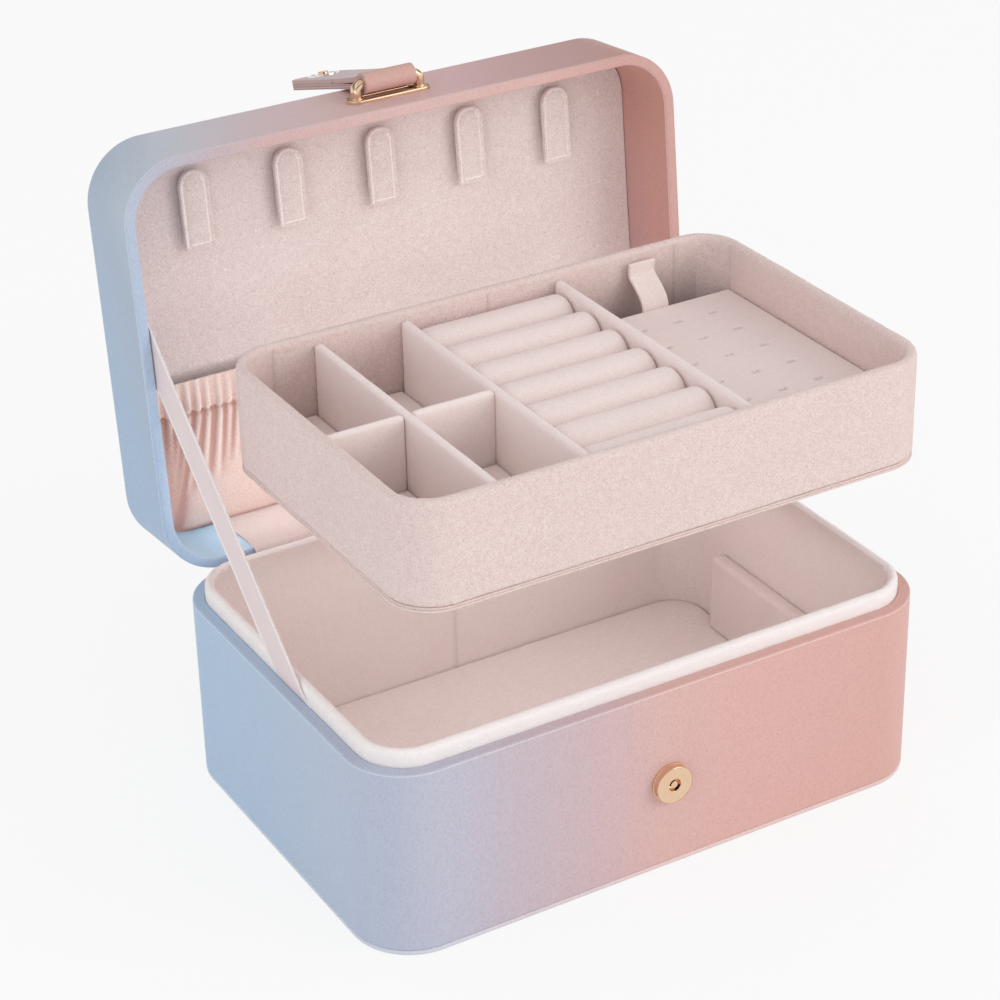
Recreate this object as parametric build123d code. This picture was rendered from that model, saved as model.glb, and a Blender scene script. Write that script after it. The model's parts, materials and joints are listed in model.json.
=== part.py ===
from build123d import *
import math
import os

# Travel jewelry box, in millimetres, open as it stands on a table with its tray lifted out.
# Origin: centre of the underside. +X to the right, +Y to the hinge, +Z up.

# Case: two rounded trays of board wrapped in leather, hinged along the back
case_width = 220.0
case_depth = 152.0
case_corner = 22.0
base_height = 71.0
lid_height = 34.0
base_wall = 4.5
lid_wall = 4.0
lid_top = 3.0
plate_thickness = 2.0
case_round = 1.2
rim_round = 0.4
soft_gap = 0.3

# Velvet liner that stands up out of the base as a lip, and the pad on the floor
liner_thickness = 3.5
lip_height = 6.0
lip_round = 1.6
floor_pad_thickness = 2.3
pad_round = 0.8

# Boards at the two ends of the base that the tray rests on
rest_thickness = 6.0
rest_length = 80.0
rest_height = 36.0
rest_round = 1.5

# Hinge line, behind the back face and below the rim, and the lid's opening in degrees
hinge_outset = 0.35
hinge_drop = 0.4
lid_open_angle = 95.34

# Leather spine outside the hinge and velvet strip inside it
spine_width = 176.0
spine_thickness = 0.8
spine_reach = 12.0
spine_bend = 1.2
lining_width = 154.0
lining_thickness = 0.8
lining_margin = 2.0

# Velvet panel in the lid and its five necklace tabs
panel_thickness = 1.5
tab_count = 5
tab_pitch = 36.8
tab_width = 13.0
tab_length = 29.0
tab_thickness = 2.6
tab_standoff = 1.4
tab_foot = 10.0
tab_round = 0.9
tab_inset = 10.0

# Gathered pocket along the hinge side of the lid
pocket_height = 55.0
pocket_margin = 2.5
pocket_side = 3.0
pocket_cloth = 0.9
pocket_fold_count = 16
pocket_fold_rise = 0.8
pocket_hem = 2.4
pocket_waist = 1.5
pocket_belly = 2.6
pocket_foot = 1.2
waist_share = 0.22
belly_share = 0.66

# Ribbon that stops the lid, from the lid's left wall over the lip of the base
ribbon_thickness = 0.4
ribbon_gap = 0.1
ribbon_lid_gap = 0.3
ribbon_spread = 20.0
ribbon_base_y = 2.0
ribbon_lid_reach = 86.0
ribbon_tuck = 8.0
ribbon_anchor_rise = 16.0

# Magnetic snap: brass cap with a ring magnet on the base, disc with a post on the strap
snap_height = 34.5
cap_diameter = 14.5
cap_height = 3.0
cap_skin = 0.5
cap_round = 0.5
cap_hole = 4.6
magnet_height = 2.0
magnet_gap = 0.1
washer_diameter = 12.0
washer_thickness = 0.8
prong_width = 1.6
snap_disc_diameter = 12.0
snap_disc_thickness = 1.2
snap_post_diameter = 3.6
snap_post_length = 1.6
snap_gap = 0.3

# Latch: gold bracket on the lid's front and the leather strap that turns on its bar
bracket_height = 15.0
bracket_width = 7.6
bracket_plate = 1.2
bracket_round = 0.4
bar_diameter = 3.4
post_width = 4.0
post_depth = 4.0
post_rise = 2.3
post_round = 1.6
bracket_board = 2.0
backing_width = 5.0
backing_thickness = 0.8
rivet_diameter = 2.4
rivet_head = 4.0
rivet_head_height = 0.5
rivet_gap = 0.05
strap_width = 20.0
strap_thickness = 3.2
strap_tip = 10.0
strap_corner = 3.0
strap_neck = 9.0
loop_inner = 4.2
loop_outer = 8.2
strap_side_gap = 0.5
strap_lean_gap = 0.3

# Tray, standing on its own bottom board
tray_width = 200.0
tray_depth = 130.0
tray_corner = 16.0
tray_height = 39.0
tray_wall = 4.0
tray_bottom = 1.6
tray_round = 1.8
lift_height = 89.5

# Dividers, given by their middles from the tray's left outer face
divider_thickness = 3.4
divider_drop = 3.0
divider_round = 1.5
compartment_divider_x = 35.0
ring_divider_x = 68.5
earring_divider_x = 130.5
cross_divider_y = -2.0
compartment_pad = 8.0

# Ring rolls on their foam base
roll_count = 7
roll_drop = 5.0
roll_gap = 0.3
roll_end_round = 3.4
ring_base_drop = 22.4

# Lift-out earring board on its two ledges
board_thickness = 2.5
board_drop = 18.0
board_back_gap = 12.5
board_gap = 0.5
board_corner = 12.5
hole_diameter = 0.9
hole_spread = 1.8
hole_columns = 3
hole_rows = 6
hole_column_pitch = 15.0
hole_row_pitch = 16.0
hole_first_row = 13.5
ledge_thickness = 3.0
ledge_length = 90.0
pull_width = 11.0
pull_thickness = 2.0
pull_lean = 9.0
pull_lean_rise = 8.0
pull_rise = 8.0

# How far a cutter runs past what it cuts
overrun = 1.0

# Worked out from the sizes above
liner_width = case_width - 2 * base_wall
liner_depth = case_depth - 2 * base_wall
liner_corner = case_corner - base_wall
inner_width = liner_width - 2 * liner_thickness
inner_depth = liner_depth - 2 * liner_thickness
inner_corner = liner_corner - liner_thickness
lip_top = base_height + lip_height
closed_height = base_height + lid_height
hinge_y = case_depth / 2 + hinge_outset
hinge_z = base_height - hinge_drop
lid_inner_width = case_width - 2 * lid_wall
lid_inner_depth = case_depth - 2 * lid_wall
lid_inner_corner = case_corner - lid_wall
lid_ceiling = closed_height - lid_top
panel_face = lid_ceiling - panel_thickness

bar_standoff = cap_height + snap_gap + snap_disc_thickness + strap_thickness / 2
post_reach = strap_width / 2 + strap_side_gap + post_width / 2
bar_y = -case_depth / 2 - bar_standoff
bar_z = base_height + bracket_height
strap_length = bar_z - snap_height + strap_tip
bar_to_edge = closed_height - bar_z
strap_lean = math.degrees(math.atan2(bar_standoff - strap_thickness / 2 - strap_lean_gap, bar_to_edge))
strap_throw = 180 + strap_lean

tray_inner_corner = tray_corner - tray_wall
tray_left = -tray_width / 2
seat_slack_x = (inner_width - tray_width) / 2 - soft_gap
seat_slack_y = (inner_depth - tray_depth) / 2 - soft_gap
lift_in_liner = lip_top - rest_height
lift_lean_x = 2 * seat_slack_x / lift_in_liner
lift_lean_y = -2 * seat_slack_y / lift_in_liner
tray_x = -seat_slack_x + lift_lean_x * lift_height
tray_y = seat_slack_y + lift_lean_y * lift_height
tray_z = rest_height + lift_height

divider_top = tray_height - divider_drop
ring_left = tray_left + ring_divider_x + divider_thickness / 2
ring_right = tray_left + earring_divider_x - divider_thickness / 2
earring_left = tray_left + earring_divider_x + divider_thickness / 2
wall_x = tray_width / 2 - tray_wall
wall_y = tray_depth / 2 - tray_wall
roll_pitch = 2 * wall_y / roll_count
roll_diameter = roll_pitch - roll_gap
board_top = tray_height - board_drop
board_y = wall_y - board_back_gap


def slab(width, depth, corner, low, high):
    """Rounded plate between two heights."""
    return Pos(0, 0, low) * extrude(RectangleRounded(width, depth, corner), high - low)


def ring(width, depth, corner, wall, low, high):
    """Rounded frame of even wall between two heights."""
    hollow = slab(width - 2 * wall, depth - 2 * wall, corner - wall, low - overrun, high + overrun)
    return slab(width, depth, corner, low, high) - hollow


def block(left, right, front, back, low, high):
    """Box between six planes."""
    size = Box(right - left, back - front, high - low)
    return Pos((left + right) / 2, (front + back) / 2, (low + high) / 2) * size


def top_edges(solid):
    return solid.edges().group_by(Axis.Z)[-1]


def bottom_edges(solid):
    return solid.edges().group_by(Axis.Z)[0]


def open_lid(solid):
    """Turn a piece of the closed lid to where it stands open."""
    return solid.rotate(Axis((0, hinge_y, hinge_z), (1, 0, 0)), -lid_open_angle)


def open_point(y, z):
    """Place of a point of the closed lid's side view once the lid stands open."""
    angle = math.radians(lid_open_angle)
    back = y - hinge_y
    rise = z - hinge_z
    opened_y = back * math.cos(angle) + rise * math.sin(angle)
    opened_z = rise * math.cos(angle) - back * math.sin(angle)
    return (hinge_y + opened_y, hinge_z + opened_z)


def strip(points, thickness, width):
    """Sheet of even thickness that follows a side view's points and runs along X."""
    sides = [[], []]
    for i, (y, z) in enumerate(points):
        before = points[max(i - 1, 0)]
        after = points[min(i + 1, len(points) - 1)]
        first = math.atan2(z - before[1], y - before[0]) if i else None
        second = math.atan2(after[1] - z, after[0] - y) if i < len(points) - 1 else None
        first = second if first is None else first
        second = first if second is None else second
        half_turn = (second - first) / 2
        across = first + half_turn + math.pi / 2
        reach = thickness / 2 / math.cos(half_turn)
        for side, sign in zip(sides, (1, -1)):
            side.append((y + sign * reach * math.cos(across), z + sign * reach * math.sin(across)))
    outline = Plane.YZ * Polyline(*sides[0], *reversed(sides[1]), close=True)
    return extrude(make_face(outline), width / 2, both=True)


def put_in_tray(solid):
    """Move a piece from the tray's own place to where the tray is held up."""
    return Pos(tray_x, tray_y, tray_z) * solid


def lining_slab(width, depth, corner, low, high):
    """Rounded plate that fits a hollow of the given size with the soft gap all round."""
    return slab(width - 2 * soft_gap, depth - 2 * soft_gap, corner - soft_gap, low, high)


def ribbon_slope():
    """How far back the tight ribbon runs for each unit that it rises."""
    stop_y, stop_z = open_point(hinge_y - ribbon_lid_reach, base_height)
    return (stop_y - ribbon_base_y) / (stop_z - lip_top)


def ribbon_groove():
    """Hollow that the ribbon presses into the outside of the lip."""
    left = -liner_width / 2
    reach = ribbon_spread / 2 + ribbon_gap
    front = ribbon_base_y - ribbon_slope() * (liner_thickness + lip_height + ribbon_tuck) - reach
    low = base_height - ribbon_tuck - ribbon_gap
    depth = ribbon_thickness + 2 * ribbon_gap
    return block(left - overrun, left + depth, front, ribbon_base_y + reach, low, lip_top + overrun)


def make_base():
    shell = ring(case_width, case_depth, case_corner, base_wall, plate_thickness, base_height)
    shell = fillet(top_edges(shell), rim_round)
    front = -case_depth / 2
    washer_seat = Rot(90, 0, 0) * Cylinder(washer_diameter / 2 + rivet_gap, washer_thickness + rivet_gap)
    seat_y = front + base_wall - (washer_thickness + rivet_gap) / 2
    shell -= Pos(0, seat_y, snap_height) * washer_seat
    slot = Box(prong_width + 2 * rivet_gap, base_wall, prong_width + 2 * rivet_gap)
    for x in (-prong_width, prong_width):
        shell -= Pos(x * 2, front + base_wall / 2, snap_height) * slot
    plate = slab(case_width, case_depth, case_corner, 0, plate_thickness)
    plate = fillet(bottom_edges(plate), case_round)
    liner = ring(liner_width, liner_depth, liner_corner, liner_thickness, plate_thickness, lip_top)
    liner = fillet(top_edges(liner), lip_round)
    liner -= ribbon_groove()
    pad_top = plate_thickness + floor_pad_thickness
    pad = lining_slab(inner_width, inner_depth, inner_corner, plate_thickness, pad_top)
    pad = fillet(top_edges(pad), pad_round)
    rests = {}
    for name, side in (("left", -1), ("right", 1)):
        middle = side * (inner_width / 2 - rest_thickness / 2)
        board = Box(rest_thickness, rest_length, rest_height - pad_top)
        board = fillet(board.edges().filter_by(Axis.Z), rest_round)
        rests["tray_rest_" + name] = Pos(middle, 0, (rest_height + pad_top) / 2) * board
    return {"base_shell": shell, "base_plate": plate, "base_liner": liner, "base_floor_pad": pad, **rests}


def make_snap():
    """Brass cap, ring magnet and pronged washer, built about the Y axis."""
    front = -case_depth / 2
    cap = Cylinder(cap_diameter / 2, cap_height)
    cap = fillet(top_edges(cap), cap_round)
    cap -= Pos(0, 0, -cap_skin) * Cylinder(cap_diameter / 2 - cap_skin, cap_height)
    cap -= Cylinder(cap_hole / 2, cap_height + overrun)
    magnet = Cylinder(cap_diameter / 2 - cap_skin - magnet_gap, magnet_height)
    magnet -= Cylinder(cap_hole / 2, magnet_height + overrun)
    facing = Rot(90, 0, 0)
    washer = Pos(0, 0, washer_thickness / 2) * Cylinder(washer_diameter / 2, washer_thickness)
    for x in (-prong_width, prong_width):
        washer += Pos(x * 2, 0, base_wall / 2) * Box(prong_width, prong_width, base_wall)
    return {
        "snap_cap": Pos(0, front - cap_height / 2, snap_height) * facing * cap,
        "snap_magnet": Pos(0, front - magnet_height / 2, snap_height) * facing * magnet,
        "snap_washer": Pos(0, front + base_wall, snap_height) * facing * washer,
    }


def make_lid():
    body = slab(case_width, case_depth, case_corner, base_height, closed_height)
    body = fillet(top_edges(body), case_round)
    hollow = slab(lid_inner_width, lid_inner_depth, lid_inner_corner, base_height - overrun, lid_ceiling)
    shell = body - hollow
    shell = fillet(bottom_edges(shell), rim_round)
    shell -= backing_hollow()
    panel = lining_slab(lid_inner_width, lid_inner_depth, lid_inner_corner, panel_face, lid_ceiling)
    pieces = {"lid_shell": shell, "lid_panel": panel, "lid_pocket": make_pocket()}
    tab = make_tab()
    for i in range(tab_count):
        x = (i - (tab_count - 1) / 2) * tab_pitch
        pieces["necklace_tab_" + str(i + 1)] = Pos(x, 0, 0) * tab
    return {name: open_lid(piece) for name, piece in pieces.items()}


def make_tab():
    """Padded velvet tab, round at its free end, with a foot that holds it off the panel."""
    tip_y = -lid_inner_depth / 2 + tab_inset
    end_y = tip_y + tab_length
    radius = tab_width / 2
    low = panel_face - tab_standoff - tab_thickness
    outline = Pos(0, tip_y + radius) * Circle(radius)
    outline += Pos(0, (tip_y + radius + end_y) / 2) * Rectangle(tab_width, tab_length - radius)
    tab = Pos(0, 0, low) * extrude(outline, tab_thickness)
    tab = fillet(tab.edges().group_by(Axis.Z)[0] + tab.edges().group_by(Axis.Z)[-1], tab_round)
    foot_inset = tab_round
    foot = block(-radius + foot_inset, radius - foot_inset, end_y - tab_foot, end_y - foot_inset,
                 panel_face - tab_standoff - tab_thickness / 2, panel_face)
    return tab + foot


def pocket_section(y, thickness, rise, half_width):
    """Outline of the pocket across the lid: flat on the panel, folded on its face."""
    face = panel_face - thickness
    pitch = 2 * half_width / pocket_fold_count
    lines = [Line((-half_width, y, panel_face), (-half_width, y, face))]
    for i in range(pocket_fold_count):
        start = -half_width + i * pitch
        crest = (start + pitch / 2, y, face - rise)
        lines.append(ThreePointArc((start, y, face), crest, (start + pitch, y, face)))
    lines.append(Line((half_width, y, face), (half_width, y, panel_face)))
    lines.append(Line((half_width, y, panel_face), (-half_width, y, panel_face)))
    return make_face(Wire(lines))


def make_pocket():
    """Gathered cloth pocket, open towards the lid's front, drawn in by elastic below its hem."""
    half_width = lid_inner_width / 2 - pocket_side
    back = lid_inner_depth / 2 - pocket_margin
    hem = back - pocket_height
    stations = (
        (hem, pocket_hem, pocket_fold_rise * waist_share * 2),
        (hem + waist_share * pocket_height, pocket_waist, pocket_fold_rise * waist_share),
        (hem + belly_share * pocket_height, pocket_belly, pocket_fold_rise),
        (back, pocket_foot, pocket_fold_rise * waist_share),
    )
    cloth = loft([pocket_section(y, thick, rise, half_width) for y, thick, rise in stations], ruled=True)
    inside = []
    for y, thick, rise in stations[:-1]:
        depth = thick - pocket_cloth
        mouth = Pos(0, y, panel_face - depth / 2) * Rot(90, 0, 0)
        inside.append(mouth * Rectangle(2 * half_width - 2 * pocket_side, depth))
    tunnel = loft(inside, ruled=True)
    mouth_cut = block(-half_width + pocket_side, half_width - pocket_side, hem - overrun, hem,
                      panel_face - pocket_hem + pocket_cloth, panel_face)
    lid_room = lining_slab(lid_inner_width, lid_inner_depth, lid_inner_corner, base_height, panel_face)
    return (cloth & lid_room) - tunnel - mouth_cut


def backing_hollow():
    """Hollow in the lid's front wall for the backing plate and the rivets."""
    depth = backing_thickness + rivet_head_height + 2 * rivet_gap
    room = extrude(SlotCenterToCenter(2 * post_reach, backing_width + 2 * rivet_gap), depth)
    hollow = Pos(0, 0, -bracket_board - depth) * room
    bore = Cylinder(rivet_diameter / 2 + rivet_gap, bracket_board + overrun)
    for x in (-post_reach, post_reach):
        hollow += Pos(x, 0, -bracket_board / 2) * bore
    return bracket_place() * hollow


def bracket_place():
    """Face of the closed lid that the bracket sits on, with +Z out of the lid."""
    return Pos(0, -case_depth / 2, bar_z) * Rot(90, 0, 0)


def make_bracket():
    """Plate and staple on the lid's front wall, with the rivets and backing plate behind it."""
    staple = extrude(SlotCenterToCenter(2 * post_reach, bracket_width), bracket_plate)
    staple = fillet(top_edges(staple), bracket_round)
    for x in (-post_reach, post_reach):
        post_height = bar_standoff + post_rise
        post = Pos(0, 0, post_height / 2) * Box(post_width, post_depth, post_height)
        post = fillet(post.edges().filter_by(Axis.Z) + top_edges(post), post_round)
        staple += Pos(x, 0, 0) * post
    bar = Pos(0, 0, bar_standoff) * Rot(0, 90, 0) * Cylinder(bar_diameter / 2, strap_width + post_width)
    staple += bar
    grip = bracket_board + rivet_gap + backing_thickness
    backing = Pos(0, 0, -grip) * extrude(SlotCenterToCenter(2 * post_reach, backing_width), backing_thickness)
    shank = Pos(0, 0, -grip / 2) * Cylinder(rivet_diameter / 2, grip)
    head = Pos(0, 0, -grip - rivet_head_height / 2) * Cylinder(rivet_head / 2, rivet_head_height)
    rivets = []
    for x in (-post_reach, post_reach):
        rivets.append(Pos(x, 0, 0) * (shank + head))
        backing -= Pos(x, 0, 0) * shank
    pieces = {
        "latch_bracket": staple,
        "bracket_backing": backing,
        "bracket_rivets": Compound(children=rivets),
    }
    return {name: open_lid(bracket_place() * piece) for name, piece in pieces.items()}


def make_strap():
    """Two leathers folded about the bar, turned back over the open lid, with the snap's disc."""
    half = strap_thickness / 2
    body = Pos(0, -strap_length / 2, 0) * Box(strap_width, strap_length, strap_thickness)
    body = chamfer(body.edges().filter_by(Axis.Z).group_by(Axis.Y)[0], strap_corner)
    wide = loop_outer / 2 * math.cos(math.atan2(loop_outer / 2 - half, strap_neck))
    neck_side = Polyline((0, -wide), (-strap_neck, -half), (-strap_neck, half), (0, wide), close=True)
    neck = extrude(make_face(Plane.YZ * neck_side), strap_width / 2, both=True)
    strap = body + neck + Rot(0, 90, 0) * Cylinder(loop_outer / 2, strap_width)
    strap -= Rot(0, 90, 0) * Cylinder(loop_inner / 2, strap_width + overrun)
    snap_y = -(bar_z - snap_height)
    disc_z = -half - snap_disc_thickness / 2
    post_z = -half - snap_disc_thickness - snap_post_length / 2
    disc = Pos(0, snap_y, disc_z) * Cylinder(snap_disc_diameter / 2, snap_disc_thickness)
    disc += Pos(0, snap_y, post_z) * Cylinder(snap_post_diameter / 2, snap_post_length)
    turned_back = Pos(0, bar_y, bar_z) * Rot(-strap_throw, 0, 0) * Rot(90, 0, 0)
    return {
        "latch_strap": open_lid(turned_back * strap),
        "latch_snap": open_lid(turned_back * disc),
    }


def tray_board(x, front, back):
    """Padded divider that runs front to back at a place along the tray."""
    board = Box(divider_thickness, back - front, divider_top - tray_bottom)
    board = fillet(top_edges(board).filter_by(Axis.Y), divider_round)
    return Pos(x, (front + back) / 2, (divider_top + tray_bottom) / 2) * board


def make_dividers():
    long_x = tray_left + compartment_divider_x
    ring_x = tray_left + ring_divider_x
    pieces = {
        "compartment_divider": tray_board(long_x, -wall_y, wall_y),
        "ring_divider": tray_board(ring_x, -wall_y, wall_y),
        "earring_divider": tray_board(tray_left + earring_divider_x, -wall_y, wall_y),
    }
    half = divider_thickness / 2
    spans = ((-wall_x, long_x - half), (long_x + half, ring_x - half))
    for name, (left, right) in zip(("left", "right"), spans):
        board = Rot(0, 0, 90) * tray_board(0, left, right)
        pieces["cross_divider_" + name] = Pos(left + right, cross_divider_y, 0) * board
    return pieces


def make_tray_pads():
    """Foam pads in the four square compartments, cut to the tray's round corners."""
    half = divider_thickness / 2
    long_x = tray_left + compartment_divider_x
    ring_x = tray_left + ring_divider_x
    columns = ((-wall_x, long_x - half), (long_x + half, ring_x - half))
    rows = ((-wall_y, cross_divider_y - half), (cross_divider_y + half, wall_y))
    pad_top = tray_bottom + compartment_pad
    floor = lining_slab(2 * wall_x, 2 * wall_y, tray_inner_corner, tray_bottom, pad_top)
    pieces = {}
    for left, right in columns:
        for front, back in rows:
            sides = (left + soft_gap, right - soft_gap, front + soft_gap, back - soft_gap)
            pieces["compartment_pad_" + str(len(pieces) + 1)] = floor & block(*sides, tray_bottom, pad_top)
    return pieces


def make_ring_section():
    base_top = tray_height - ring_base_drop
    left = ring_left + soft_gap
    right = ring_right - soft_gap
    reach = wall_y - soft_gap
    pieces = {"ring_base": block(left, right, -reach, reach, tray_bottom, base_top)}
    roll = Rot(0, 90, 0) * Cylinder(roll_diameter / 2, right - left)
    roll = fillet(roll.edges().filter_by(GeomType.CIRCLE), roll_end_round)
    roll_z = tray_height - roll_drop - roll_diameter / 2
    for i in range(roll_count):
        y = wall_y - (i + 0.5) * roll_pitch
        pieces["ring_roll_" + str(i + 1)] = Pos((left + right) / 2, y, roll_z) * roll
    return pieces


def make_earring_ledges():
    top = board_top - board_thickness
    pieces = {}
    for name, left in (("left", earring_left), ("right", wall_x - ledge_thickness)):
        sides = (left, left + ledge_thickness, -ledge_length / 2, ledge_length / 2)
        pieces["board_ledge_" + name] = block(*sides, tray_bottom, top)
    return pieces


def make_earring_board():
    left = earring_left + board_gap
    right = wall_x - board_gap
    front = -wall_y + board_gap
    low = board_top - board_thickness
    board = block(left, right, front, board_y, low, board_top)
    front_right = board.edges().filter_by(Axis.Z).group_by(Axis.X)[-1].sort_by(Axis.Y)[0]
    board = fillet(front_right, board_corner)
    middle = (left + right) / 2
    for column in range(hole_columns):
        for row in range(hole_rows):
            x = middle + (column - (hole_columns - 1) / 2) * hole_column_pitch
            y = board_y - hole_first_row - row * hole_row_pitch
            for side in (-hole_spread / 2, hole_spread / 2):
                hole = Cylinder(hole_diameter / 2, board_thickness + overrun)
                board -= Pos(x + side, y, (low + board_top) / 2) * hole
    grip_z = (low + board_top) / 2
    start = board_y + pull_thickness / 2
    path = [
        (start, grip_z - board_thickness / 2),
        (start, grip_z + board_thickness / 2),
        (start + pull_lean, grip_z + pull_lean_rise),
        (start + pull_lean, grip_z + pull_lean_rise + pull_rise),
    ]
    tab = Pos(middle, 0, 0) * strip(path, pull_thickness, pull_width)
    return {"earring_board": board, "pull_tab": tab}


def make_tray():
    walls = ring(tray_width, tray_depth, tray_corner, tray_wall, tray_bottom, tray_height)
    walls = fillet(top_edges(walls), tray_round)
    bottom = slab(tray_width, tray_depth, tray_corner, 0, tray_bottom)
    pieces = {"tray_walls": walls, "tray_bottom": bottom}
    pieces.update(make_dividers())
    pieces.update(make_tray_pads())
    pieces.update(make_ring_section())
    pieces.update(make_earring_ledges())
    pieces.update(make_earring_board())
    return {name: put_in_tray(piece) for name, piece in pieces.items()}


def make_hinge():
    """Leather spine outside the hinge and velvet strip inside it, bent as the open lid bends them."""
    back = case_depth / 2
    half = spine_thickness / 2
    outside = [
        (back + half, base_height - spine_reach),
        (back + half, hinge_z - spine_bend),
        (back + half + spine_bend, hinge_z - half / 2),
        open_point(back + half, base_height + spine_reach),
    ]
    wall = lid_inner_depth / 2 - lining_thickness / 2
    rim = base_height + lining_thickness / 2
    inside = [
        (liner_depth / 2 + lining_thickness / 2, rim),
        (liner_depth / 2 + 2 * lining_thickness, rim),
        open_point(wall, base_height - lining_thickness / 2),
        open_point(wall, panel_face - lining_margin),
    ]
    return {
        "hinge_spine": strip(outside, spine_thickness, spine_width),
        "hinge_lining": strip(inside, lining_thickness, lining_width),
    }


def ribbon_length(x, start, end):
    """Flat length of ribbon at a place along X, between two cuts of two points in the side view."""
    outline = Plane.YZ * Polyline(*start, *reversed(end), close=True)
    return Pos(x, 0, 0) * extrude(make_face(outline), ribbon_thickness / 2, both=True)


def make_ribbon():
    """Ribbon tucked down outside the lip, folded over it and held flat on the lid's left wall."""
    half = ribbon_thickness / 2
    spread = ribbon_spread / 2
    slope = ribbon_slope()
    outer_x = -liner_width / 2 + ribbon_gap + half
    inner_x = -inner_width / 2 + half
    lid_x = -lid_inner_width / 2 + ribbon_lid_gap + half
    over_z = lip_top + half
    fold_y = ribbon_base_y - slope * liner_thickness
    tuck_y = fold_y - slope * (lip_height + ribbon_tuck)
    tuck_z = base_height - ribbon_tuck
    fold_cut = [(fold_y - spread, over_z), (fold_y + spread, over_z)]
    tucked = ribbon_length(outer_x, fold_cut, [(tuck_y - spread, tuck_z), (tuck_y + spread, tuck_z)])
    bridge_sides = Polyline(
        (outer_x - half, fold_y - spread), (inner_x + half, ribbon_base_y - spread),
        (inner_x + half, ribbon_base_y + spread), (outer_x - half, fold_y + spread), close=True,
    )
    bridge = Pos(0, 0, lip_top) * extrude(make_face(bridge_sides), ribbon_thickness)
    lip_cut = [(ribbon_base_y - spread, over_z), (ribbon_base_y + spread, over_z)]
    rim_y = hinge_y - ribbon_lid_reach
    rim_cut = [open_point(rim_y + side, base_height) for side in (-spread, spread)]
    rise = open_point(rim_y, base_height)[1] - over_z
    across = Axis((inner_x, ribbon_base_y, over_z), (0, -1, slope))
    lean = math.degrees(math.atan2(inner_x - lid_x, rise * math.hypot(1, slope)))
    free = ribbon_length(inner_x, lip_cut, rim_cut).rotate(across, lean)
    held_cuts = []
    for along in (-overrun, ribbon_anchor_rise):
        held_cuts.append([(y + slope * along, z + along) for y, z in rim_cut])
    held = ribbon_length(lid_x, *held_cuts)
    return {"ribbon_stay": tucked + bridge + free + held}


def make_box():
    groups = [make_base(), make_snap(), make_lid(), make_bracket(), make_strap()]
    groups += [make_tray(), make_hinge(), make_ribbon()]
    pieces = {}
    for group in groups:
        pieces.update(group)
    return pieces


os.makedirs("parts", exist_ok=True)
for name, piece in make_box().items():
    export_step(piece, "parts/" + name + ".step")
lift = lift_height * math.hypot(1, lift_lean_x, lift_lean_y)
print("Tray at x, y, z:", round(tray_x, 4), round(tray_y, 4), round(tray_z, 4))
print("Its lean for each unit of rise:", round(lift_lean_x, 7), round(lift_lean_y, 7))
print("Length of its path:", round(lift, 4))
print("Hinge line at y, z:", round(hinge_y, 4), round(hinge_z, 4))
print("Latch bar at y, z:", [round(v, 4) for v in open_point(bar_y, bar_z)], "thrown", round(strap_throw, 4))
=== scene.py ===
import json
import math
import random

import bmesh
import bpy
from mathutils import Matrix, Vector, noise


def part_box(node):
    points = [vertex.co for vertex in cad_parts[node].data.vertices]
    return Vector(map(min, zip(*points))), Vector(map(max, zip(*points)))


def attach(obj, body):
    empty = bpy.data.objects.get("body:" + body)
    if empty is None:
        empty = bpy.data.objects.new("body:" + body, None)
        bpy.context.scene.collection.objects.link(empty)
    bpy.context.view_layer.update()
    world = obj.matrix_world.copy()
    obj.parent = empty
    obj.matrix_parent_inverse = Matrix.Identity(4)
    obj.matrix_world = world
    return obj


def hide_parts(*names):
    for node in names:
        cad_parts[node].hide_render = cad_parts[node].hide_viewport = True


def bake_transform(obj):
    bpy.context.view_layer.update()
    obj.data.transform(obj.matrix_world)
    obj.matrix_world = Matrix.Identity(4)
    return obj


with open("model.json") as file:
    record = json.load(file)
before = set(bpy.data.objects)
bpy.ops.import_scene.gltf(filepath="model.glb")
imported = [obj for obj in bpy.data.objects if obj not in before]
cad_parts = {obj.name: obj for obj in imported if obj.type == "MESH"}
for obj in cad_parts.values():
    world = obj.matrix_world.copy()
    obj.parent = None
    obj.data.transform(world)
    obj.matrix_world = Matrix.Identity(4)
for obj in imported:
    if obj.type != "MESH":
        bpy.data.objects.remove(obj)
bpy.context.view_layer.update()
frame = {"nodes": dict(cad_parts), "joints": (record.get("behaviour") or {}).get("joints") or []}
random.seed(7)
mm = 0.001
tiny = 0.00001
print("Frame loaded:", len(frame["nodes"]), "nodes")


# Where the lid and the strap are modelled: closed and latched, then turned to where they rest

joints = {joint["name"]: joint for joint in frame["joints"]}


def turnAbout(point, degrees):
    place = Matrix.Translation(Vector(point))
    return place @ Matrix.Rotation(math.radians(degrees), 4, "X") @ place.inverted()


hingeAt = Vector(joints["lid_hinge"]["pos_m"])
closeLid = turnAbout(hingeAt, joints["lid_hinge"]["range_deg"][1])
openLid = closeLid.inverted()
barAtRest = joints["latch_hinge"]["pos_m"]
barAt = closeLid @ Vector(barAtRest)
hangStrap = closeLid @ turnAbout(barAtRest, joints["latch_hinge"]["range_deg"][1])
throwStrap = hangStrap.inverted()


def boxTurned(node, turn):
    points = [turn @ v.co for v in frame["nodes"][node].data.vertices]
    low = Vector([min(p[i] for p in points) for i in range(3)])
    high = Vector([max(p[i] for p in points) for i in range(3)])
    return low, high


# Shader maths: a socket that sums and products can be written with

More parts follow.
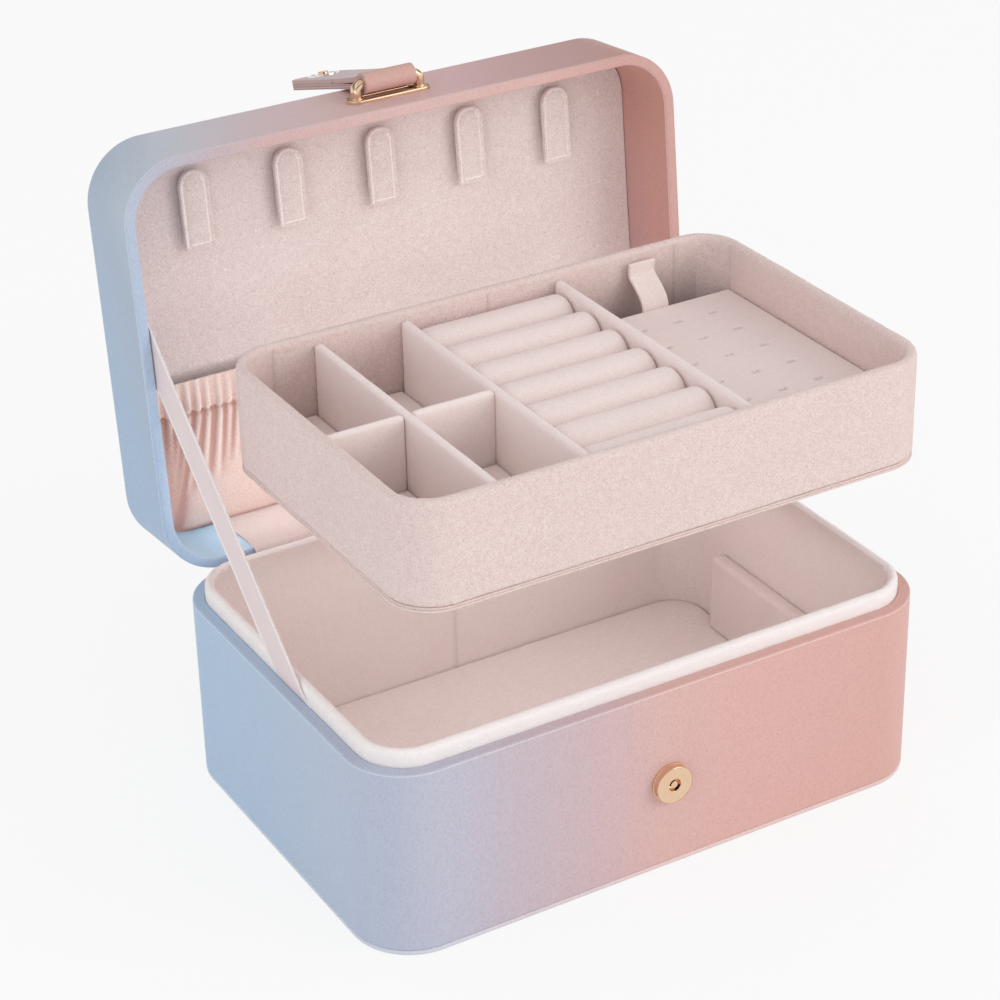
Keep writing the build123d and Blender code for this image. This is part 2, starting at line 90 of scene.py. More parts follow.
class Wire:
    def __init__(self, tree, socket=None):
        self.tree = tree
        self.socket = socket

    def node(self, kind, settings=None, values=None, out=0):
        made = self.tree.nodes.new("ShaderNode" + kind)
        for name, value in (settings or {}).items():
            if name == "stops":
                fillRamp(made.color_ramp, value)
            else:
                setattr(made, name, value)
        for name, value in (values or {}).items():
            if isinstance(value, Wire):
                self.tree.links.new(value.socket, made.inputs[name])
            else:
                made.inputs[name].default_value = value
        return Wire(self.tree, made.outputs[out] if made.outputs else None)

    def maths(self, operation, other=0.0):
        return self.node("Math", {"operation": operation}, {0: self, 1: other})

    def __add__(self, other):
        return self.maths("ADD", other)

    def __sub__(self, other):
        return self.maths("SUBTRACT", other)

    def __rsub__(self, other):
        return self * -1.0 + other

    def __mul__(self, other):
        return self.maths("MULTIPLY", other)

    def __truediv__(self, other):
        return self.maths("DIVIDE", other)

    __radd__ = __add__
    __rmul__ = __mul__

    def size(self):
        return self.maths("ABSOLUTE")

    def above(self, limit):
        return self.maths("GREATER_THAN", limit)

    def noise(self, grain, detail=2.0, roughness=0.5):
        values = {"Vector": self, "Scale": 1 / grain, "Detail": detail, "Roughness": roughness}
        return self.node("TexNoise", values=values)

    def part(self, index):
        return self.node("SeparateXYZ", values={"Vector": self}, out=index)

    def mixed(self, first, second):
        return self.node("Mix", {"data_type": "RGBA"}, {0: self, 6: first, 7: second}, out=2)

    def bump(self, height, strength):
        return self.node("Bump", values={"Strength": strength, "Distance": height, "Height": self})


def fillRamp(ramp, stops):
    while len(ramp.elements) < len(stops):
        ramp.elements.new(0.5)
    for element, (place, tone) in zip(ramp.elements, stops):
        element.position = place
        element.color = tone


def shade(red, green, blue):
    # a colour as a picture shows it, 0 to 255, turned to what the shader takes
    tones = []
    for value in (red, green, blue):
        value /= 255
        tones.append(value / 12.92 if value < 0.04045 else ((value + 0.055) / 1.055) ** 2.4)
    return (*tones, 1.0)


def startMaterial(name):
    made = bpy.data.materials.new(name)
    made.use_nodes = True
    made.node_tree.nodes.clear()
    start = Wire(made.node_tree)
    return made, start, start.node("TexCoord", out=3)


def finishMaterial(start, values):
    shader = start.node("BsdfPrincipled", values=values)
    start.node("OutputMaterial", values={"Surface": shader})


# Leather that fades from blue over lavender to coral along the case: places in mm and their tones

leather = {
    "base": [
        (-150, (172, 200, 226)), (-134, (175, 199, 224)), (-112, (184, 194, 214)),
        (-84, (194, 194, 209)), (-56, (202, 187, 196)), (-28, (210, 184, 188)),
        (-2, (221, 182, 176)), (30, (223, 179, 171)), (110, (218, 172, 162)),
    ],
    # besides the fade, the lid's stops hold painted shade: they grow darker towards its right end, and are
    # set one by one to how the light falls on the lid's walls
    "lid": [
        (-150, (166, 192, 221)), (-117, (168, 191, 216)), (-97, (172, 186, 204)),
        (-84, (184, 195, 209)), (-68, (198, 204, 215)), (-54, (205, 201, 208)),
        (-26, (216, 191, 194)), (-2, (219, 187, 184)), (44, (219, 183, 182)),
        (58, (211, 174, 173)), (72, (205, 168, 166)), (100, (197, 156, 153)),
        (118, (198, 150, 138)),
    ],
    # painted light and shade: the rim's own tones, mostly paler than the lid's, for how the light falls on
    # its forward-facing band
    "rim": [
        (-150, (166, 188, 215)), (-114, (168, 191, 218)), (-106, (178, 203, 229)),
        (-85, (187, 199, 219)), (-57, (193, 187, 199)), (-29, (212, 182, 181)),
        (-1, (216, 183, 181)), (27, (220, 187, 182)), (83, (217, 179, 172)),
        (111, (207, 164, 157)),
    ],
    # painted light: a brighter, bluer copy of the lid's tones for the shaded inner wall by the hinge
    "well": [
        (-150, (180, 232, 255)), (-84, (198, 230, 255)), (-28, (219, 195, 200)),
        (110, (200, 156, 150)),
    ],
    "strap": [(-150, (211, 168, 157)), (110, (216, 173, 162))],
    "inside": [(-150, (202, 180, 184)), (110, (206, 184, 186))],
    "baseRun": (-0.22, 0.0, -16),  # slant of the fade with depth and with height, and its shift in mm
    "lidRun": (-0.45, 0.30, 2),
    "strapRun": (0.0, 0.0, 0),
    "waver": 6 * mm,
    "grain": 0.6 * mm,
    "pebble": 1.2 * mm,
    "patch": 9 * mm,
    "pit": (0.89, 0.87, 0.88, 1.0),
    "relief": 0.24 * mm,
    "roughness": 0.46,
}


def makeLeather(name, tones, run, pale=0.0):
    made, start, place = startMaterial(name)
    slantY, slantZ, shift = run
    along = place.part(0) + place.part(1) * slantY + place.part(2) * slantZ + shift * mm
    along = along + (place.noise(leather["patch"] * 3) - 0.5) * leather["waver"]
    first, reach = tones[0][0], tones[-1][0] - tones[0][0]
    stops = []
    for at, tone in tones:
        stops.append(((at - first) / reach, shade(*[c + (255 - c) * pale for c in tone])))
    fade = start.node("ValToRGB", {"stops": stops}, {0: (along - first * mm) / (reach * mm)})
    stretch = {"Vector": place, "Rotation": (0.0, 0.7, 0.0), "Scale": (1.0, 1.0, 0.65)}
    grain = place.node("Mapping", values=stretch).noise(leather["grain"])
    pebbled = {"Vector": place, "Scale": 1 / leather["pebble"]}
    cells = place.node("TexVoronoi", {"feature": "SMOOTH_F1"}, pebbled)
    patches = place.noise(leather["patch"])
    dark = start.node("Mix", {"data_type": "RGBA", "blend_type": "MULTIPLY"},
                      {0: 1.0, 6: fade, 7: leather["pit"]}, out=2)
    finishMaterial(start, {
        "Base Color": ((grain - 0.5) * 3.4 + 0.78).mixed(dark, fade),
        "Roughness": leather["roughness"] + (grain - 0.5) * 0.25 + (patches - 0.5) * 0.1,
        "Normal": (grain * 0.6 + cells * 0.5).bump(leather["relief"], 0.7),
        "Specular IOR Level": 0.42,
    })
    return made


# Velvets: pale and dark tone, grain in mm, contrast, relief in mm, and how much the nap is brushed about

velvets = {
    "fleece": ((242, 224, 220), (212, 186, 182), 0.45, 2.4, 0.45, 0.15),
    "pile": ((252, 240, 237), (238, 220, 217), 0.5, 1.6, 0.25, 0.2),
    # painted highlight: a paler copy for the tabs' right and lower edges
    "tab_highlight": ((252, 244, 241), (230, 213, 209), 0.5, 2.0, 0.3, 0.2),
    "inner_pile": ((244, 235, 232), (226, 208, 204), 0.5, 1.7, 0.3, 0.2),
    "roll_pile": ((249, 235, 232), (230, 211, 207), 0.5, 1.8, 0.28, 0.15),
    # painted light: a paler copy of the liner's velvet for the lip's faces that look up and out
    "lip_pile_lit": ((255, 252, 251), (245, 234, 232), 0.45, 2.2, 0.45, 0.15),
    "lining_pile": ((228, 214, 209), (206, 184, 179), 0.5, 1.8, 0.3, 0.2),
    "rest_pile": ((240, 229, 226), (220, 202, 198), 0.5, 1.6, 0.3, 0.2),
    "panel_pile": ((235, 225, 223), (203, 182, 179), 0.5, 2.2, 0.4, 0.25),
}


def makeVelvet(name, kind=None, paintedShade=None):
    # the last argument gives the height of a foot darkened with painted shade, as low in the tray's
    # compartments, and the height at which that shade has faded out
    tone, shadow, grain, contrast, relief, nap = velvets[kind or name]
    made, start, place = startMaterial(name)
    fuzz = place.noise(grain * mm, 3.0, 0.65)
    clumps = place.noise(grain * mm * 4)
    brushed = place.noise(26 * mm)
    share = (fuzz - 0.5) * contrast + (clumps - 0.5) * (contrast * 0.2) + (brushed - 0.5) * nap + 0.62
    # the share kept by pressIn darkens the velvet: a dark line along seams, and painted shade in dimples
    pressed = start.node("Attribute", {"attribute_name": "pressed"}, out=2)
    colour = share.mixed(shade(*shadow), shade(*tone))
    if paintedShade:
        foot, top = paintedShade
        shadeWeight = ((place.part(2) - top) / (foot - top)).maths("MAXIMUM", 0.0).maths("MINIMUM", 1.0)
        colour = (shadeWeight * 0.4).mixed(colour, shade(*[c * 0.66 for c in shadow]))
    finishMaterial(start, {
        "Base Color": (pressed * 0.5).mixed(colour, shade(*[c * 0.62 for c in shadow])),
        "Roughness": 0.86 + (fuzz - 0.5) * 0.2,
        "Normal": (fuzz * 0.7 + clumps * 0.5).bump(relief * mm, 0.8),
        "Sheen Weight": 0.35,
        "Sheen Roughness": 0.45,
        "Sheen Tint": shade(255, 240, 236),
        "Specular IOR Level": 0.15,
    })
    return made


def makeMetal(name, tone, roughness):
    made, start, place = startMaterial(name)
    wear = place.noise(2.2 * mm, 3.0)
    brushing = place.node("Mapping", values={"Vector": place, "Scale": (400.0, 4000.0, 4000.0)})
    scratches = brushing.noise(1.0)
    finishMaterial(start, {
        "Base Color": ((wear - 0.5) * 0.8 + 0.5).mixed(shade(*[c * 0.94 for c in tone]), shade(*tone)),
        "Metallic": 1.0,
        "Roughness": roughness + (scratches - 0.5) * 0.08 + (wear - 0.5) * 0.05,
        "Normal": scratches.bump(0.01 * mm, 0.25),
    })
    return made


def makeCloth(name, tone, shadow, weave, relief, picots=None, folded=False):
    # satin: a fine weave, with picots along its two edges, or with painted light on the crests of its folds
    # and painted shade in the hollows between them
    made, start, place = startMaterial(name)
    fuzz = place.noise(weave)
    share = (fuzz - 0.5) * 0.5 + (place.noise(12 * mm) - 0.5) * 0.5 + 0.6
    if folded:
        share = (fuzz - 0.5) * 0.8 + start.node("Attribute", {"attribute_name": "crest"}, out=2) * 0.9
    colour = share.mixed(shade(*shadow), shade(*tone))
    height = fuzz
    if picots:
        chart = start.node("TexCoord", out=2)
        edge = (chart.part(0) - 0.5).size().above(0.5 - picots["share"])
        edge = edge * (chart.part(1) * picots["count"]).maths("FRACT").above(0.45)
        colour = edge.mixed(colour, shade(*picots["tone"]))
        height = height + edge * 0.8
    finishMaterial(start, {
        "Base Color": colour,
        "Roughness": 0.6 + (fuzz - 0.5) * 0.2,
        "Normal": height.bump(relief, 0.6),
        "Sheen Weight": 0.3,
        "Sheen Roughness": 0.35,
    })
    return made


def makeCutEdge(name, tone, shadow, across):
    # the raw edge of leather: thin layers, along whatever direction runs through them
    made, start, place = startMaterial(name)
    through = place.part(1) * across[0] + place.part(2) * across[1]
    layers = start.node("TexNoise", {"noise_dimensions": "1D"},
                        {"W": through, "Scale": 1 / (0.45 * mm), "Detail": 2.0})
    share = (layers - 0.5) * 2.2 + (place.noise(0.4 * mm) - 0.5) * 0.9 + 0.5
    finishMaterial(start, {
        "Base Color": share.mixed(shade(*shadow), shade(*tone)),
        "Roughness": 0.8 + (layers - 0.5) * 0.2,
        "Normal": layers.bump(0.08 * mm, 0.6),
    })
    return made


baseLeather = makeLeather("base_leather", leather["base"], leather["baseRun"])
# a paler copy of the base leather: painted highlight
basePaleHighlight = makeLeather("base_pale_highlight", leather["base"], leather["baseRun"], 0.4)
# the lid's fade, with painted shade in its stops
lidLeather = makeLeather("lid_leather", leather["lid"], leather["lidRun"])
lidRimLit = makeLeather("lid_rim_painted_light", leather["rim"], leather["lidRun"])
# a paler copy of the lid leather: painted highlight
lidEdgeHighlight = makeLeather("lid_edge_highlight", leather["lid"], leather["lidRun"], 0.45)
lidWellLit = makeLeather("lid_well_painted_light", leather["well"], leather["lidRun"])
strapFinish = makeLeather("strap_leather", leather["strap"], leather["strapRun"])
strapInside = makeLeather("strap_inside", leather["inside"], leather["strapRun"])
fleece = makeVelvet("fleece")
pile = makeVelvet("pile")
tabHighlight = makeVelvet("tab_highlight")
innerPile = makeVelvet("inner_pile")
rollPile = makeVelvet("roll_pile")
lipPileLit = makeVelvet("lip_pile_lit")
liningPile = makeVelvet("lining_pile")
restPile = makeVelvet("rest_pile")
panelPile = makeVelvet("panel_pile")
pocketSatin = makeCloth("pocket_satin", (247, 231, 223), (194, 152, 141), 0.5 * mm, 0.2 * mm, folded=True)
ribbonSatin = makeCloth("ribbon_satin", (238, 222, 222), (224, 206, 206), 0.35 * mm, 0.06 * mm,
                        {"share": 0.08, "tone": (255, 252, 252), "count": 190})
thread = makeCloth("thread", (166, 116, 112), (130, 84, 82), 0.3 * mm, 0.05 * mm)
plyWay = throwStrap.to_3x3() @ Vector((0, 1, 0))
strapEdge = makeCutEdge("strap_edge", (206, 180, 176), (160, 128, 125), (plyWay.y, plyWay.z))
gold = makeMetal("gold", (240, 206, 174), 0.11)
paleMetal = makeMetal("pale_metal", (248, 242, 246), 0.2)
steel = makeMetal("steel", (182, 182, 186), 0.34)
print("Materials made:", len(bpy.data.materials))


# Modelling: each helper does what a hand would do in the viewport

def clearSelection():
    if bpy.context.mode != "OBJECT":
        bpy.ops.object.mode_set(mode="OBJECT")
    bpy.ops.object.select_all(action="DESELECT")


def activate(piece):
    clearSelection()
    piece.select_set(True)
    bpy.context.view_layer.objects.active = piece


def edit(piece):
    activate(piece)
    bpy.ops.object.mode_set(mode="EDIT")


def leave():
    bpy.ops.object.mode_set(mode="OBJECT")


def giveName(piece, name):
    piece.name = name
    piece.data.name = name
    return piece


def applyPlace():
    bpy.ops.object.transform_apply(location=True, rotation=True, scale=True)


def choose(kind, test):
    mesh = bpy.context.edit_object.data
    bpy.ops.mesh.select_mode(type=kind)
    bpy.ops.mesh.select_all(action="DESELECT")
    form = bmesh.from_edit_mesh(mesh)
    for item in form.faces if kind == "FACE" else form.edges:
        if test(item):
            item.select_set(True)
    bmesh.update_edit_mesh(mesh)


def middleOf(edge):
    return (edge.verts[0].co + edge.verts[1].co) / 2


def atHeight(height):
    return lambda edge: all(abs(v.co.z - height) < tiny for v in edge.verts)


def creaseAt(height):
    # edges at a height where the surface turns, not the ones that run across a flat rim
    return lambda edge: atHeight(height)(edge) and edge.calc_face_angle(0) > 0.5


def upright(edge):
    first, second = (v.co for v in edge.verts)
    return abs(first.x - second.x) < tiny and abs(first.y - second.y) < tiny


def sharp(edge):
    return edge.calc_face_angle(0) > math.radians(60)


def facesUp(face):
    return face.normal.z > 0.9


def extrude(shift):
    bpy.ops.mesh.extrude_region_move(TRANSFORM_OT_translate={"value": shift})


def startBox(name, low, high):
    low, high = Vector(low), Vector(high)
    clearSelection()
    bpy.ops.mesh.primitive_cube_add(size=1, location=(low + high) / 2)
    piece = giveName(bpy.context.object, name)
    piece.scale = high - low
    applyPlace()
    return piece


def startDisc(name, height, radius, depth, steps=64):
    # stands on its lower face, on the Z axis
    clearSelection()
    bpy.ops.mesh.primitive_cylinder_add(vertices=steps, radius=radius, depth=depth,
                                        location=(0, 0, height + depth / 2))
    piece = giveName(bpy.context.object, name)
    applyPlace()
    return piece


def bevelEdges(piece, test, width, steps=4):
    edit(piece)
    choose("EDGE", test)
    bpy.ops.mesh.bevel(offset=width, segments=steps, affect="EDGES")
    leave()


def stepFaces(piece, test, steps):
    # insets the chosen faces and then raises or sinks them, once for each step
    edit(piece)
    choose("FACE", test)
    for inset, rise in steps:
        bpy.ops.mesh.inset(thickness=inset)
        extrude((0, 0, rise))
    leave()


def roundedBox(name, low, high, corner, steps, only=None):
    piece = startBox(name, low, high)
    bevelEdges(piece, lambda e: upright(e) and (only is None or only(middleOf(e))), corner, steps)
    return piece


def openFrame(name, low, high, corner, wall, steps=20):
    # a wall that runs round, open above and below
    piece = roundedBox(name, low, high, corner, steps)
    edit(piece)
    choose("FACE", lambda f: abs(f.normal.z) > 0.9)
    bpy.ops.mesh.inset(thickness=wall, use_individual=True)
    bpy.ops.mesh.delete(type="ONLY_FACE")
    choose("EDGE", lambda e: e.is_boundary)
    bpy.ops.mesh.bridge_edge_loops()
    leave()
    return piece


def slicePiece(piece, axis, step, inset=0.0):
    # even cuts across a piece, so that it can bend and swell
    low = min(v.co[axis] for v in piece.data.vertices) + inset
    high = max(v.co[axis] for v in piece.data.vertices) - inset
    count = max(1, round((high - low) / step))
    across = Vector([1.0 if i == axis else 0.0 for i in range(3)])
    edit(piece)
    for i in range(1, count):
        bpy.ops.mesh.select_all(action="SELECT")
        bpy.ops.mesh.bisect(plane_co=across * (low + (high - low) * i / count), plane_no=across)
    leave()


def sliceFlat(piece, step):
    slicePiece(piece, 0, step)
    slicePiece(piece, 1, step)


def applyModifier(piece, kind, **settings):
    activate(piece)
    modifier = piece.modifiers.new(kind.lower(), kind)
    for name, value in settings.items():
        setattr(modifier, name, value)
    bpy.ops.object.modifier_apply(modifier=modifier.name)


def ruffle(piece, grain, strength):
    texture = bpy.data.textures.new("ruffle", "CLOUDS")
    texture.noise_scale = grain
    applyModifier(piece, "DISPLACE", texture=texture, strength=strength, mid_level=0.5)


def softenSkin(piece, voxel, rounds):
    # even small faces and softened edges
    applyModifier(piece, "REMESH", mode="VOXEL", voxel_size=voxel)
    applyModifier(piece, "SMOOTH", factor=0.5, iterations=rounds)


def makePile(piece, voxel, rounds, fluff, wave):
    # a fluffy skin that is not quite flat
    softenSkin(piece, voxel, rounds)
    ruffle(piece, 18 * mm, wave)
    ruffle(piece, 1.3 * mm, fluff)


def moveVerts(piece, move):
    for vertex in piece.data.vertices:
        vertex.co = move(vertex.co.copy())
    piece.data.update()


def pressIn(piece, pressure, direction, depth):
    # pushes places in by a share from 0 to 1, and keeps that share for the velvet, which is darker there: a
    # dark line along seams, and painted shade in the earring board's dimples
    marks = piece.data.attributes.new("pressed", "FLOAT", "POINT")
    for vertex in piece.data.vertices:
        share = pressure(vertex.co)
        marks.data[vertex.index].value = share
        vertex.co += Vector(direction) * (depth * share)


def tidyNormals(piece):
    edit(piece)
    bpy.ops.mesh.select_all(action="SELECT")
    bpy.ops.mesh.remove_doubles(threshold=tiny)
    bpy.ops.mesh.normals_make_consistent(inside=False)
    leave()


def turnPiece(piece, turn):
    activate(piece)
    piece.matrix_world = turn @ piece.matrix_world
    applyPlace()


def setAt(point, degrees, axis="X"):
    # turns about an axis through the origin, and then moves there
    return Matrix.Translation(point) @ Matrix.Rotation(math.radians(degrees), 4, axis)


def copyPiece(piece, name, shift):
    made = piece.copy()
    made.data = piece.data.copy()
    giveName(made, name)
    bpy.context.scene.collection.objects.link(made)
    made.location = shift
    activate(made)
    applyPlace()
    return made


def joinPieces(pieces):
    activate(pieces[0])
    for piece in pieces[1:]:
        piece.select_set(True)
    bpy.ops.object.join()
    return pieces[0]


def pathPlaces(path, count):
    # evenly spaced places along a list of points
    points = [Vector(p) for p in path]
    reach = [0.0]
    for first, second in zip(points, points[1:]):
        reach.append(reach[-1] + (second - first).length)
    places = []
    for i in range(count + 1):
        along = reach[-1] * i / count
        k = next(j for j in range(1, len(reach)) if reach[j] >= along - tiny)
        share = (along - reach[k - 1]) / (reach[k] - reach[k - 1])
        places.append(points[k - 1].lerp(points[k], share))
    return places, reach[-1]


def softPath(path, rounds=3):
    # rounds the corners of a path by cutting them again and again
    points = [Vector(p) for p in path]
    for _ in range(rounds):
        cut = [points[0]]
        for first, second in zip(points, points[1:]):
            cut += [first.lerp(second, 0.25), first.lerp(second, 0.75)]
        points = cut + [points[-1]]
    return points


def startSheet(name, columns, rows):
    # a grid from -0.5 to 0.5 with its own map: u across it and v along it
    clearSelection()
    bpy.ops.mesh.primitive_grid_add(x_subdivisions=columns, y_subdivisions=rows, size=1)
    return giveName(bpy.context.object, name)


def makeStrip(name, path, across, columns, rows, thickness, widen=None):
    # a flat length that follows a path
    places, length = pathPlaces(path, rows)
    piece = startSheet(name, columns, rows)
    for vertex in piece.data.vertices:
        side, along = vertex.co.x, vertex.co.y + 0.5
        row = min(rows, max(0, round(along * rows)))
        share = widen(side, row / rows) if widen else 1.0
        vertex.co = places[row] + Vector(across) * side * share
    applyModifier(piece, "SOLIDIFY", thickness=thickness, offset=0.0)
    tidyNormals(piece)
    return piece, length


def finishPiece(piece, material, nodes=(), body=None, smooth=35):
    activate(piece)
    applyPlace()
    bpy.ops.object.shade_smooth_by_angle(angle=math.radians(smooth))
    piece.data.materials.clear()
    piece.data.materials.append(material)
    if nodes:
        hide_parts(*nodes)
    if body:
        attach(piece, body)
    return piece


def markFaces(piece, material, test):
    piece.data.materials.append(material)
    for face in piece.data.polygons:
        if test(face.center, face.normal):
            face.material_index = len(piece.data.materials) - 1


def makeBoard(name, low, high, values, material, body):
    # a velvet board with a soft upper edge
    board = startBox(name + "_board", low, high)
    bevelEdges(board, atHeight(high.z), values["round"])
    makePile(board, *values["pile"])
    return finishPiece(board, material, [name], body, 80)


# Base: leather wall, bottom board with its rounded edge, velvet liner and floor

case = {
    "corner": 22 * mm,
    "wall": 4.5 * mm,
    "lidWall": 4 * mm,
    "lidTop": 3 * mm,
    "shutGap": 0.06 * mm,
    "wellEnd": 5 * mm,
    "rimRound": 0.8 * mm,
    "outerRound": 1.6 * mm,
    "seamRound": 0.7 * mm,
    "footRound": 1.1 * mm,
    "highlightBand": (0.45 * mm, 0.9 * mm),  # the band just under a rim's outer edge, where a thin painted highlight line runs
    "steps": 24,
}


def evenNormals(piece):
    applyModifier(piece, "WEIGHTED_NORMAL", keep_sharp=True, weight=80)


def inEdgeBand(depth):
    return case["highlightBand"][0] < depth < case["highlightBand"][1]


def makeCaseWall():
    low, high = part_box("base_shell")
    wall = openFrame("case_wall", low, high, case["corner"], case["wall"], case["steps"])
    bevelEdges(wall, creaseAt(high.z), case["rimRound"])
    bevelEdges(wall, creaseAt(low.z), case["seamRound"], 3)
    finishPiece(wall, baseLeather, ["base_shell"], "base")
    # painted highlight: a pale line just under the rim's outer edge, where the rounded edge catches the light
    markFaces(wall, basePaleHighlight, lambda c, n: inEdgeBand(high.z - c.z) and n.xy.dot(c.xy) > 0)
    evenNormals(wall)


def makeCaseBottom():
    low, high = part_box("base_plate")
    board = roundedBox("case_bottom", low, high, case["corner"], case["steps"])
    bevelEdges(board, atHeight(high.z), case["seamRound"], 3)
    bevelEdges(board, atHeight(low.z), case["footRound"])
    # the bottom board takes the same pale leather as the rim's painted highlight
    finishPiece(board, basePaleHighlight, ["base_plate"], "base")
    evenNormals(board)


liner = {
    "wall": 3.5 * mm,
    "lipRound": 1.2 * mm,
    "lip": 9 * mm,
    "pile": (1.1 * mm, 2, 0.32 * mm, 0.25 * mm),  # face size, rounds of smoothing, fluff and wave
    "seamX": -1.0 * mm,
    "seamTop": 8 * mm,
    "seamWidth": 0.7 * mm,
    "seamDepth": 0.5 * mm,
}


def makeLiner():
    low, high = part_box("base_liner")
    wall = openFrame("liner", low, high, case["corner"] - case["wall"], liner["wall"])
    bevelEdges(wall, creaseAt(high.z), liner["lipRound"], 5)
    makePile(wall, *liner["pile"])
    back = high.y - liner["wall"]

    def seam(co):
        if abs(co.y - back) > 1.2 * mm or co.z > high.z - liner["seamTop"]:
            return 0.0
        return 0.5 * math.exp(-((co.x - liner["seamX"]) / liner["seamWidth"]) ** 2)

    def onLip(centre, normal):
        return centre.z > high.z - liner["lip"] and (normal.z > 0.35 or normal.xy.dot(centre.xy) > 0)

    pressIn(wall, seam, (0, 1, 0), liner["seamDepth"])
    finishPiece(wall, innerPile, ["base_liner"], "base", 80)
    # painted light on the lip's faces that look up and out
    markFaces(wall, lipPileLit, onLip)


floorPad = {"corner": 13.7 * mm, "round": 1.0 * mm, "slice": 7 * mm, "wave": 30 * mm, "crown": 0.5 * mm}


def makeFloorPad():
    low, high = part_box("base_floor_pad")
    pad = roundedBox("floor_pad", low, high, floorPad["corner"], 12)
    bevelEdges(pad, atHeight(high.z), floorPad["round"])
    sliceFlat(pad, floorPad["slice"])
    ruffle(pad, floorPad["wave"], floorPad["crown"])
    finishPiece(pad, innerPile, ["base_floor_pad"], "base", 60)


trayRest = {"sunk": 0.35 * mm, "round": 1.4 * mm, "pile": (0.8 * mm, 2, 0.15 * mm, 0.2 * mm)}


def makeTrayRests():
    # their tops lie a nap's height lower, so that the tray's own nap has room on them
    for name in ("tray_rest_left", "tray_rest_right"):
        low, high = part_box(name)
        high.z -= trayRest["sunk"]
        makeBoard(name, low, high, trayRest, restPile, "base")


makeCaseWall()
makeCaseBottom()
makeLiner()
makeFloorPad()
makeTrayRests()
print("Base made")


# Snap on the base's front and its other half on the strap

snap = {
    "flange": 0.7 * mm,
    "step": 0.25 * mm,
    "hole": 2.3 * mm,
    "holeDepth": 2.6 * mm,
    "pin": 1.35 * mm,
    "pinRise": 2.3 * mm,
    "pinRound": 0.25 * mm,
    "round": 0.3 * mm,
    "fineRound": 0.12 * mm,
    "disc": 1.0 * mm,
    "discRim": 1.1 * mm,
    "discDip": 0.15 * mm,
    "postRadius": 2.0 * mm,
    "postWall": 0.45 * mm,
    "postShare": 0.45,
    "postSunk": 0.4 * mm,
    "postFloor": 0.1 * mm,
    "postRound": 0.15 * mm,
}


def makeSnapCap():
    low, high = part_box("snap_cap")
    radius, depth = (high.x - low.x) / 2, high.y - low.y
    outer = radius - snap["step"]
    cap = startDisc("snap_cap_shell", 0, radius, snap["flange"])
    stepFaces(cap, facesUp, [(snap["step"], depth - snap["flange"]),
                             (outer - snap["hole"], -snap["holeDepth"]),
                             (snap["hole"] - snap["pin"], snap["pinRise"])])

    def rimEdge(edge):
        reach = middleOf(edge).xy.length
        return atHeight(depth)(edge) and (reach > outer - 0.1 * mm or reach < snap["hole"] + 0.1 * mm)

    bevelEdges(cap, rimEdge, snap["round"])
    bevelEdges(cap, atHeight(snap["flange"]), snap["fineRound"], 2)
    bevelEdges(cap, atHeight(depth - snap["holeDepth"] + snap["pinRise"]), snap["pinRound"], 3)
    turnPiece(cap, setAt((0, high.y, (low.z + high.z) / 2), 90))
    finishPiece(cap, gold, ["snap_cap"], "base", 40)


def makeSnapDisc():
    # a pale disc almost flush with the leather, and the gold tube that goes over the pin in the cap
    low, high = boxTurned("latch_snap", hangStrap)
    face = snap["disc"]
    disc = startDisc("latch_snap_disc", 0, (high.x - low.x) / 2, face)
    stepFaces(disc, facesUp, [(snap["discRim"], -snap["discDip"])])
    bevelEdges(disc, creaseAt(face), snap["fineRound"], 3)
    rise = (high.y - low.y - face) * snap["postShare"]
    post = startDisc("latch_snap_post", face - snap["postSunk"], snap["postRadius"], rise + snap["postSunk"])
    stepFaces(post, facesUp, [(snap["postWall"], snap["postFloor"] - rise)])
    bevelEdges(post, creaseAt(face + rise), snap["postRound"], 3)
    for piece, finish, nodes in ((disc, paleMetal, ["latch_snap"]), (post, gold, [])):
        turnPiece(piece, throwStrap @ setAt((0, low.y, (low.z + high.z) / 2), -90))
        finishPiece(piece, finish, nodes, "latch", 40)


makeSnapCap()
makeSnapDisc()
print("Snap made")


# Lid: leather wrap, velvet panel, five tabs and the gathered pocket, modelled closed

def makeLidWrap():
    low, high = boxTurned("lid_shell", closeLid)
    low.z += case["shutGap"]
    wrap = roundedBox("lid_wrap", low, high, case["corner"], case["steps"])
    stepFaces(wrap, lambda f: f.normal.z < -0.9, [(case["lidWall"], high.z - low.z - case["lidTop"])])
    bevelEdges(wrap, creaseAt(low.z), case["rimRound"])
    bevelEdges(wrap, atHeight(high.z), case["outerRound"], 5)
    turnPiece(wrap, openLid)
    finishPiece(wrap, lidLeather, ["lid_shell"], "lid")

    def inWell(centre, normal):
        # the inner wall by the hinge, in front of the pocket
        centre, normal = closeLid @ centre, closeLid.to_3x3() @ normal
        onBack = normal.y < -0.2 and abs(normal.z) < 0.5 and centre.y > high.y / 2
        return onBack and centre.z < high.z - case["wellEnd"]

    # painted light on the shaded inner wall in front of the pocket
    markFaces(wrap, lidWellLit, inWell)
    # painted light: the rim band takes its own, mostly paler copy of the lid leather
    markFaces(wrap, lidRimLit, lambda c, n: (closeLid @ c).z < low.z + case["rimRound"])
    # painted highlight: a pale line just inside the lid's rounded lower edge
    markFaces(wrap, lidEdgeHighlight, lambda c, n: inEdgeBand((closeLid @ c).z - low.z))
    evenNormals(wrap)


lidPanel = {"slice": 6 * mm, "wave": 40 * mm, "crown": 0.25 * mm}


def makeLidPanel():
    low, high = boxTurned("lid_panel", closeLid)
    panel = roundedBox("lid_panel_velvet", low, high, case["corner"] - case["lidWall"], 12)
    sliceFlat(panel, lidPanel["slice"])
    ruffle(panel, lidPanel["wave"], lidPanel["crown"])
    turnPiece(panel, openLid)
    finishPiece(panel, panelPile, ["lid_panel"], "lid", 60)


